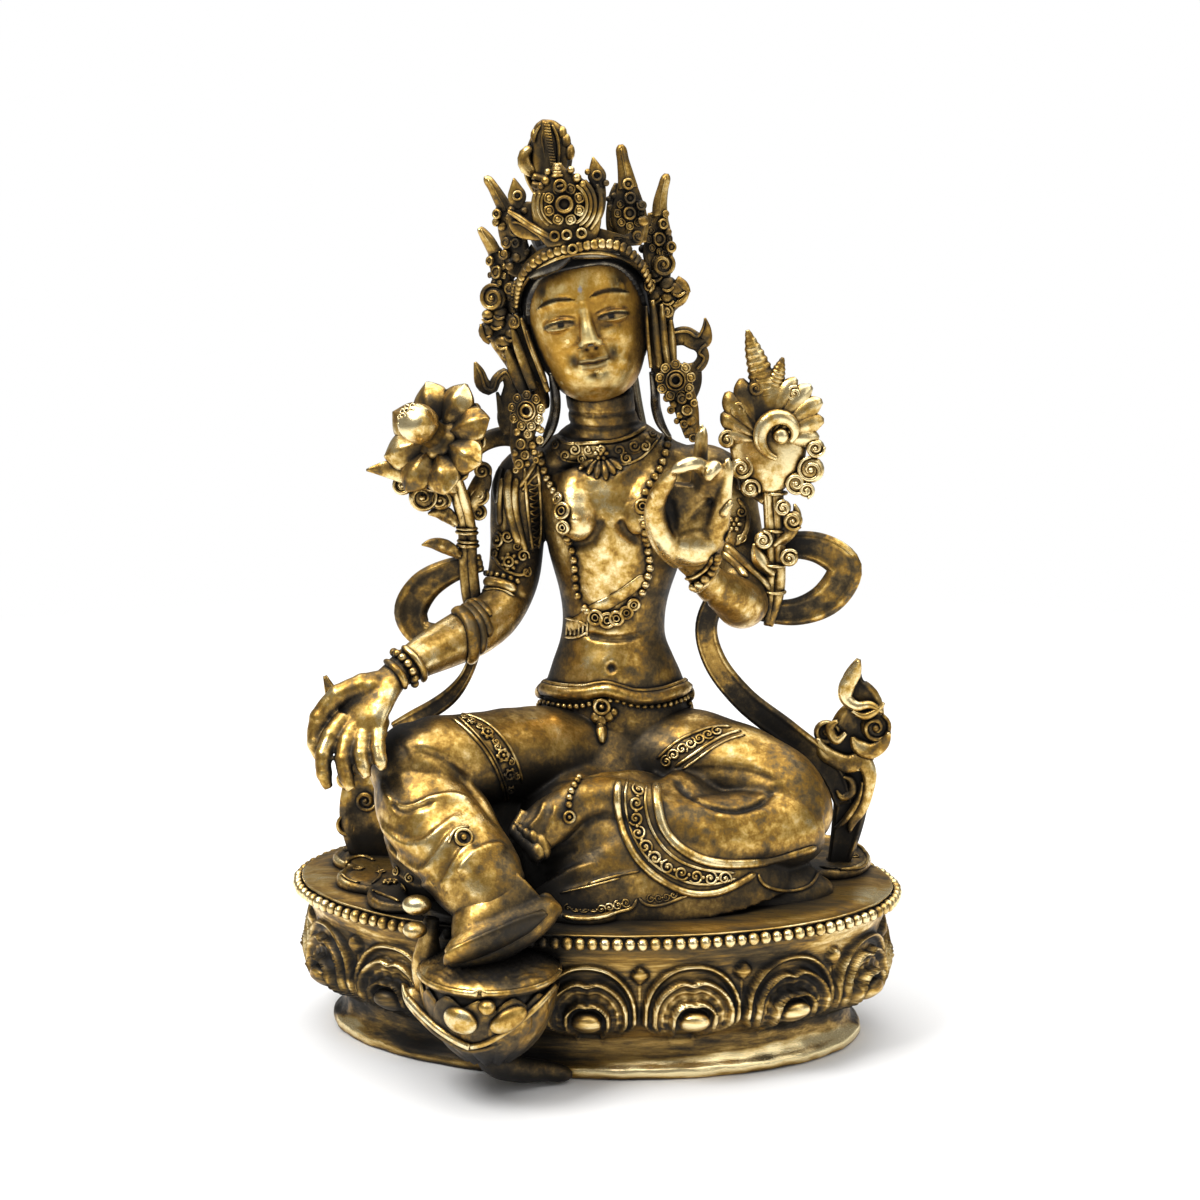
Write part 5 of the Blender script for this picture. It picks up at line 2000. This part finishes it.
necklaceLook = dict(bead=1.02, pitch=2.25)
collarTop = [(548, 428), (556, 437), (566, 443), (589, 443), (617, 440), (638, 432), (652, 422), (659, 417)]
collarFoot = [(549, 438), (560, 452), (566, 460), (580, 463), (603, 466), (627, 464), (641, 458), (653, 446),
              (662, 434)]
longString = [
    [(540, 452), (545, 472), (552, 486), (556, 493)],
    [(566.7, 536), (573.4, 553), (575.5, 570), (577, 587), (580, 600)], [(584, 606), (590, 613)],
    [(640, 596), (646, 580), (649.5, 566), (647.5, 552), (646, 537), (643.5, 520)],
    [(643, 497), (650, 484), (658, 472), (664, 457), (667, 444), (668, 432)],
]
stringRings = [
    (559, 499, 1.2), (562.9, 511.4, 1.8), (563.8, 526.7, 1.45), (596, 617, 1.7), (607, 620, 1.7),
    (617, 618, 1.6), (626, 612, 1.4), (633, 604, 1.3), (643, 507, 1.6),
]


def makeNecklaces():
    look = necklaceLook
    parts = [cordOn(collarTop, 0.55, 0.1), cordOn(collarFoot, 0.35, 0.1)]
    parts.append(cordOn([((a[0] + b[0]) / 2, (a[1] + b[1]) / 2) for a, b in zip(collarTop, collarFoot)], 0.5,
                        -0.1, 2.3))
    for across, high, radius, hand, start in (
        (575, 449, 1.5, 1, 0), (583, 459, 1.4, -1, 1.5), (566, 455, 1.3, 1, 3), (557, 445, 1.2, -1, 0),
        (627, 459, 1.5, -1, 0), (634, 446, 1.4, 1, 1.5), (619, 450, 1.3, -1, 3), (645, 447, 1.3, 1, 0),
        (653, 436, 1.2, -1, 1), (589, 449, 1.1, 1, 2),
    ):
        parts.append(scrollOn(across, high, radius, hand, 0.5, 0.36, start))
    for tip, root in (((579, 470), (595, 460)), ((588, 475), (598, 460)), ((596.4, 479), (601, 461)),
                      ((606.5, 480), (604, 461)), ((615, 475), (607, 460)), ((622, 470), (610, 459))):
        middle = ((tip[0] + root[0]) / 2, (tip[1] + root[1]) / 2)
        parts.append(leafOn([root, middle, tip], 0.95, 0.8, 0.35))
    parts += [rosetteOn(602, 452, 2.1, 6, 0.9), ringOn(602, 447.5, 0.75, 0.24, True, 1.2)]
    for line in longString:
        parts += beadsOn(line, look["bead"], look["pitch"])
    for across, high, radius in stringRings:
        parts.append(ringOn(across, high, radius, 0.45, False, 0.6))
        parts.append(ringOn(across, high, radius * 0.45, 0.2, False, 0.7))
    sash = [(646, 577), (634, 586), (622, 595), (608, 603), (594, 610), (580, 621), (567, 627)]
    parts.append(cordOn(sash, 0.45, 0.05, 1.5, 14, bandSection(1, 0.4)))
    parts.append(cordOn([(567, 618), (579, 621), (588, 626)], 0.4, 0.2))
    parts.append(cordOn([(566, 637), (578, 637), (588, 632)], 0.4, 0.2))
    for x in range(568, 590, 4):
        parts.append(cordOn([(x, 620), (x - 0.6, 628), (x - 1, 636)], 0.3, 0.1))
    return parts


beltLook = dict(roll=1.75, bead=0.78, pitch=1.75, middle=(4, 8.8))
beltFront = [
    (539, 686), (546, 689), (563, 692.5), (584, 693), (597, 690.5), (607, 689.5), (620, 693), (636, 697.5),
    (660, 696), (678, 690), (688, 686),
]
beltStringFront = [
    (543, 701), (563, 706), (586, 705), (597, 701), (606, 700), (618, 700), (630, 704), (645, 706),
    (668, 704), (687, 697),
]


def makeBelt():
    middleX, middleY = beltLook["middle"]

    def roundBack(high, wide, deep):
        return [[middleX + math.cos(a) * wide, middleY + math.sin(a) * deep, high + seatHeight]
                for a in np.linspace(-0.1, math.pi + 0.1, 15)]

    parts = []
    front = [p for p, _ in placesOn(beltFront, 0.35)]
    back = roundBack(43.8, 18.2, 13.9)
    rows = [[*p, beltLook["roll"], beltLook["roll"]] for p in [*front, *back, front[0]]]
    parts.append(limb(rows, 14, 150, side=(0, 0, 1), rise=0))
    thin = [[x, y, z + 1.9, 0.5, 0.5] for x, y, z, _, _ in rows]
    parts.append(limb(thin, 8, 150, side=(0, 0, 1), rise=0))
    front = [p for p, _ in placesOn(beltStringFront, 0.5)]
    rows = [[*p, 1, 1] for p in [*front, *roundBack(40.4, 18.9, 14.3), front[0]]]
    parts += beadsAlong(rows, beltLook["bead"], beltLook["pitch"])
    parts += [ringOn(602.5, 706, 1.75, 0.5, True, 1.0)]
    for across, high, wide, tall in ((596, 717, 1.3, 1.5), (601.5, 720, 1.4, 1.7), (609, 716, 1.3, 1.6),
                                     (614, 712, 1.0, 1.2)):
        found = seenAt(bodySkin, across, high, 0.4)
        if found:
            parts.append(ball(found[0], (wide, tall, 0.9), found[1], 12, 8, 0))
    parts.append(leafOn([(601, 722), (601, 732), (601, 744)], 1.3, 1.0, 0.5))
    return parts


def makeArmDress():
    parts = []
    # upper arm scarf on the right, its folds and its engraved hem
    for line, thick in (
        ([(510, 470), (508, 490), (512, 520), (520, 545)], 1.1),
        ([(517, 478), (515, 500), (520, 530), (526, 552)], 0.9),
        ([(503, 478), (500, 500), (500, 525)], 0.9),
        ([(525, 468), (527, 500), (530, 530), (533, 552)], 0.5),
        ([(538, 466), (541, 500), (541, 530), (538, 548)], 0.5),
        ([(536, 462), (528, 475), (519, 488)], 0.6), ([(541, 470), (531, 480), (522, 491)], 0.4),
    ):
        parts.append(cordOn(line, thick, 0.05, thick * 1.1))
    for k in range(9):  # zigzag of the hem
        y = 482 + k * 7.5
        parts.append(cordOn([(528 + k * 0.4, y), (534 + k * 0.2, y + 3), (539.5, y + 1)], 0.28, 0.15))
        parts.append(cordOn([(539.5, y + 1), (534, y + 6), (529, y + 7)], 0.24, 0.15))
    # armlet and its two bands
    parts += rosetteOn(510, 562, 2.6, 7, 0.6) + ringOn(510, 562, 1.1, 0.35, True, 1.4)
    for across, high, radius, hand, thick, start in (
        (498, 540, 2.0, 1, 0.42, 0), (496, 553, 1.6, -1, 0.36, 1), (523, 556, 1.6, -1, 0.36, 2),
        (508, 536, 1.5, 1, 0.34, 2), (517, 546, 1.2, 1, 0.3, 0.6), (526, 572, 1.3, 1, 0.34, 0.6),
    ):
        parts += scrollOn(across, high, radius, hand, 0.4, thick, start)
    parts.append(cordOn([(493, 549), (499, 563), (510, 573), (522, 575), (529, 568)], 0.5, 0.3))
    parts += beadsOn([(481, 573), (490, 574), (500, 576), (511, 579), (520, 583)], 0.78, 1.8, 0.2)
    parts.append(cordOn([(476, 584), (486, 582), (497, 583), (507, 586), (516, 590)], 1.15, 0.35, 1.35, 12))
    parts.append(cordOn([(478, 592), (490, 589), (502, 590), (514, 596)], 0.35, 0.1))
    # wraps at the elbow
    for line, thick, wide in (
        ([(440, 618), (450, 612), (462, 613), (470, 624), (473, 640), (472, 658), (466, 676)], 1.25, 1.8),
        ([(446, 611), (459, 606), (470, 610), (479, 622), (482, 640), (480, 652)], 0.95, 1.3),
        ([(458, 602), (470, 603), (480, 612), (487, 626), (489, 636)], 0.9, 1.2),
        ([(470, 600), (481, 605), (490, 616)], 0.7, 1.0),
    ):
        parts.append(cordOn(line, thick, 0.3, wide, 12))
    # bracelets
    for line, thick in (([(404, 649), (415, 659), (422, 671), (422, 684)], 1.0),
                        ([(379, 659), (392, 666), (401, 677), (404, 690)], 0.9)):
        parts.append(cordOn(line, thick, 0.45, None, 12))
    parts += beadsOn([(384, 652), (396, 655), (406, 664), (412, 675), (413, 688)], 1.05, 2.1, 0.3, 10, 8)
    for line, thick in (([(676, 583), (686, 591), (697, 589), (710, 577), (717, 565), (719, 556)], 0.85),
                        ([(673, 570), (682, 577), (694, 577), (706, 567), (712, 556)], 0.5)):
        parts.append(cordOn(line, thick, 0.3, None, 12))
    parts += beadsOn([(674, 577), (684, 585), (695, 584), (706, 574), (713, 562), (716, 553)], 1.1, 2.1, 0.35,
                     10, 8)
    # sleeve folds and armlet on the left
    for line, thick in (
        ([(716, 538), (728, 548), (740, 559), (752, 570), (764, 582), (776, 598)], 0.9),
        ([(722, 552), (736, 564), (748, 580), (758, 598), (764, 612)], 0.8),
        ([(722, 516), (728, 506), (735, 496)], 0.8),
        ([(738, 499), (747, 512), (746, 530), (736, 546)], 0.55),
    ):
        parts.append(cordOn(line, thick, 0.1, thick * 1.3))
    parts += rosetteOn(734, 524, 2.1, 6, 0.5)
    for across, high, radius, hand, thick, start in (
        (741, 512, 1.4, 1, 0.34, 0), (727, 536, 1.4, -1, 0.34, 0), (741, 538, 1.3, 1, 0.32, 1),
    ):
        parts += scrollOn(across, high, radius, hand, 0.3, thick, start)
    return parts


necklaces = makePiece("necklaces", makeNecklaces())
belt = makePiece("belt", makeBelt())
armDress = makePiece("armlets_and_sleeves", makeArmDress())
for piece in (necklaces, belt, armDress):
    finishPiece(piece, ornamentBrass, "tara_figure")


def makeLegDress():
    parts = []
    # border on the right thigh
    for line, thick in (
        ([(453, 719), (463, 727), (476, 740), (488, 755), (497, 772), (503, 790), (505, 800)], 0.42),
        ([(458, 717), (468, 726), (480, 739), (492, 755), (500, 771), (506, 788), (508, 800)], 0.34),
        ([(462, 714), (486, 723), (506, 743), (517, 763), (522, 782)], 0.42),
    ):
        parts.append(cordOn(line, thick, 0.1))
    for across, high, radius in ((471, 722, 1.3), (487, 733.5, 2.0), (502.4, 755.5, 2.1), (509, 774, 1.9),
                                 (510, 789, 1.4)):
        parts += rosetteOn(across, high, radius, 6, 0.2) + ringOn(across, high, radius * 0.6, 0.22, True, 0.6)
    for across, high, hand in ((479, 727, 1), (496, 742, -1), (511, 762, 1), (517, 776, -1), (464, 718, 1),
                               (497, 747, 1)):
        parts += scrollOn(across, high, 1.0, hand, 0.2, 0.28)
    # border on the left thigh
    for line, thick in (
        ([(731, 727), (715, 727), (700, 731), (678, 741), (657, 759)], 0.42),
        ([(741, 731), (728, 734), (714, 741), (692, 755), (675, 767)], 0.42),
        ([(745, 735), (730, 739), (716, 746), (696, 760), (682, 770)], 0.3),
    ):
        parts.append(cordOn(line, thick, 0.1))
    parts += scrollRow([(722, 730), (700, 738.5), (678, 752), (663, 765)], 1.5, 7)
    # border of the skirt that opens at the left ankle
    hem = [(622, 772), (618, 785), (617, 800), (619, 815), (625, 836), (638, 860), (659, 879), (689, 893),
           (715, 893), (738, 884), (754, 874)]
    parts.append(cordOn(hem, 0.75, 0.25, 0.9, 10))
    for line, thick in (
        ([(650, 775), (645, 796), (648, 819), (659, 842), (678, 860), (701, 869), (735, 873)], 0.4),
        ([(629, 774), (625, 796), (627, 815), (634, 838), (647, 858), (666, 873), (690, 883), (715, 884),
          (737, 878)], 0.34),
    ):
        parts.append(cordOn(line, thick, 0.1))
    parts += scrollRow([(641, 780), (636, 805), (638, 833), (649, 852), (671, 869), (705, 878), (731, 878)],
                       1.75, 11)
    roll = [(657, 772), (657, 800), (664, 828), (678, 846), (700, 859), (724, 864), (745, 864), (766, 862),
            (790, 856), (815, 848)]
    parts.append(cordOn(roll, 0.8, 0.1, 1.2, 10))
    # anklet
    parts += beadsOn([(599, 764), (586, 773), (577, 783), (570, 796), (568.5, 809)], 0.85, 1.7, 0.25)
    parts += ringOn(568.5, 817, 1.25, 0.35, True, 0.6)
    # folds and scroll on the right shin
    parts += ringOn(463.7, 837.6, 1.9, 0.4, True, 0.3)
    parts.append(cordOn([(449, 843), (452, 834), (459, 828), (469, 827)], 0.4, 0.1))
    return parts


def makeClothBorder():
    parts = []
    for line, thick in (
        ([(556, 906), (560, 914), (572, 918), (586, 919), (604, 917), (618, 912), (632, 908), (637, 899)],
         0.5),
        ([(639, 898), (645, 904), (653, 906), (666, 904), (678, 899), (690, 894)], 0.45),
        ([(758, 874), (761, 882), (770, 888), (784, 891), (798, 890), (810, 885), (818, 872)], 0.5),
        ([(820, 867), (834, 869), (850, 869), (864, 866), (868, 858), (862, 848), (854, 843)], 0.45),
        ([(588, 884), (612, 877), (640, 871)], 0.3), ([(560, 893), (590, 886), (620, 878)], 0.25),
        ([(333, 845), (336, 860), (341, 874), (350, 881), (360, 883)], 0.5),
        ([(372, 891), (385, 896), (400, 902)], 0.5),
        ([(350, 876), (346, 866), (352, 859), (364, 857), (374, 861)], 0.6),
        ([(372, 884), (380, 876), (378, 866)], 0.4),
    ):
        parts.append(cordOn(line, thick, 0.1))
    parts += scrollRow([(564, 908), (586, 911), (612, 907), (630, 901)], 1.15, 8, 0.1, 0.24)
    parts += scrollRow([(647, 899), (666, 897), (684, 890)], 1.0, 5, 0.1, 0.22)
    parts += scrollRow([(828, 860), (842, 854), (858, 858)], 1.4, 4, 0.1, 0.26)
    parts += scrollRow([(834, 850), (846, 846), (856, 850)], 1.1, 3, 0.1, 0.24)
    parts += rosetteOn(391, 883, 2.4, 7, 0.2) + ringOn(391, 883, 1.3, 0.3, True, 0.5)
    for across, high, radius, hand, thick in (
        (404, 888, 1.4, 1, 0.3), (381, 872, 1.3, -1, 0.3), (360, 869, 1.8, 1, 0.34),
        (396, 871, 1.2, 1, 0.28), (410, 878, 1.2, -1, 0.28),
    ):
        parts += scrollOn(across, high, radius, hand, 0.2, thick)
    parts += scrollRow([(338, 846), (346, 850), (356, 849), (366, 844)], 1.1, 5, 0.1, 0.26)
    return parts


legDress = makePiece("skirt_borders", makeLegDress())
clothBorder = makePiece("seat_cloth_border", makeClothBorder())
for piece in (legDress, clothBorder):
    finishPiece(piece, ornamentBrass, "tara_figure")
print("jewellery ready")


# Floor and light

floorLook = dict(size=2.2, below=0.0002, tone=0.92, roughness=0.9, fadeFrom=0.24, fadeTo=0.6)
bpy.ops.mesh.primitive_plane_add(size=floorLook["size"], location=(0, 0, -floorLook["below"]))
floor = bpy.context.object
floor.name = "floor"
paper = bpy.data.materials.new("pale_paper")
paper.use_nodes = True
nodes, links = paper.node_tree.nodes, paper.node_tree.links
nodes["Principled BSDF"].inputs["Base Color"].default_value = (*[floorLook["tone"]] * 3, 1)
nodes["Principled BSDF"].inputs["Roughness"].default_value = floorLook["roughness"]
# Paler further out, so that the paper has no edge
where, reach, fade = (nodes.new("ShaderNode" + kind) for kind in ("TexCoord", "VectorMath", "MapRange"))
links.new(where.outputs["Object"], reach.inputs[0])
reach.operation = "LENGTH"
links.new(reach.outputs["Value"], fade.inputs["Value"])
fade.inputs["From Min"].default_value = floorLook["fadeFrom"]
fade.inputs["From Max"].default_value = floorLook["fadeTo"]
pale, blend = nodes.new("ShaderNodeEmission"), nodes.new("ShaderNodeMixShader")
links.new(fade.outputs[0], blend.inputs[0])
links.new(nodes["Principled BSDF"].outputs[0], blend.inputs[1])
links.new(pale.outputs[0], blend.inputs[2])
links.new(blend.outputs[0], nodes["Material Output"].inputs["Surface"])
floor.data.materials.append(paper)

lightLook = dict(sky=0.22, key=7.0, keySize=0.4, fill=1.2, fillSize=0.6, top=46.0, topSize=2.6)


def softLight(name, place, target, size, power):
    way = Vector(target) - Vector(place)
    bpy.ops.object.light_add(type="AREA", location=place, rotation=way.to_track_quat("-Z", "Y").to_euler())
    light = bpy.context.object
    light.name = name
    light.data.size = size
    light.data.energy = power


softLight("key_light", (-0.5, -0.5, 1.0), (0, 0, 0.1), lightLook["keySize"], lightLook["key"])
softLight("fill_light", (0.8, -0.6, 0.5), (0, 0, 0.1), lightLook["fillSize"], lightLook["fill"])
softLight("top_light", (0, 0.2, 1.5), (0, 0.2, 0), lightLook["topSize"], lightLook["top"])
sky = bpy.data.worlds.new("studio")
bpy.context.scene.world = sky
sky.use_nodes = True
skyNodes, skyLinks = sky.node_tree.nodes, sky.node_tree.links
wall = skyNodes["Background"]
wall.inputs["Color"].default_value = (1, 1, 1, 1)
wall.inputs["Strength"].default_value = 1.0
room = skyNodes.new("ShaderNodeBackground")
room.inputs["Color"].default_value = (1, 0.98, 0.95, 1)
room.inputs["Strength"].default_value = lightLook["sky"]
rays = skyNodes.new("ShaderNodeLightPath")
choice = skyNodes.new("ShaderNodeMixShader")
skyLinks.new(rays.outputs["Is Camera Ray"], choice.inputs["Fac"])
skyLinks.new(room.outputs[0], choice.inputs[1])
skyLinks.new(wall.outputs[0], choice.inputs[2])
skyLinks.new(choice.outputs[0], skyNodes["World Output"].inputs["Surface"])
bpy.context.scene.view_settings.view_transform = "Standard"

print("scene ready")
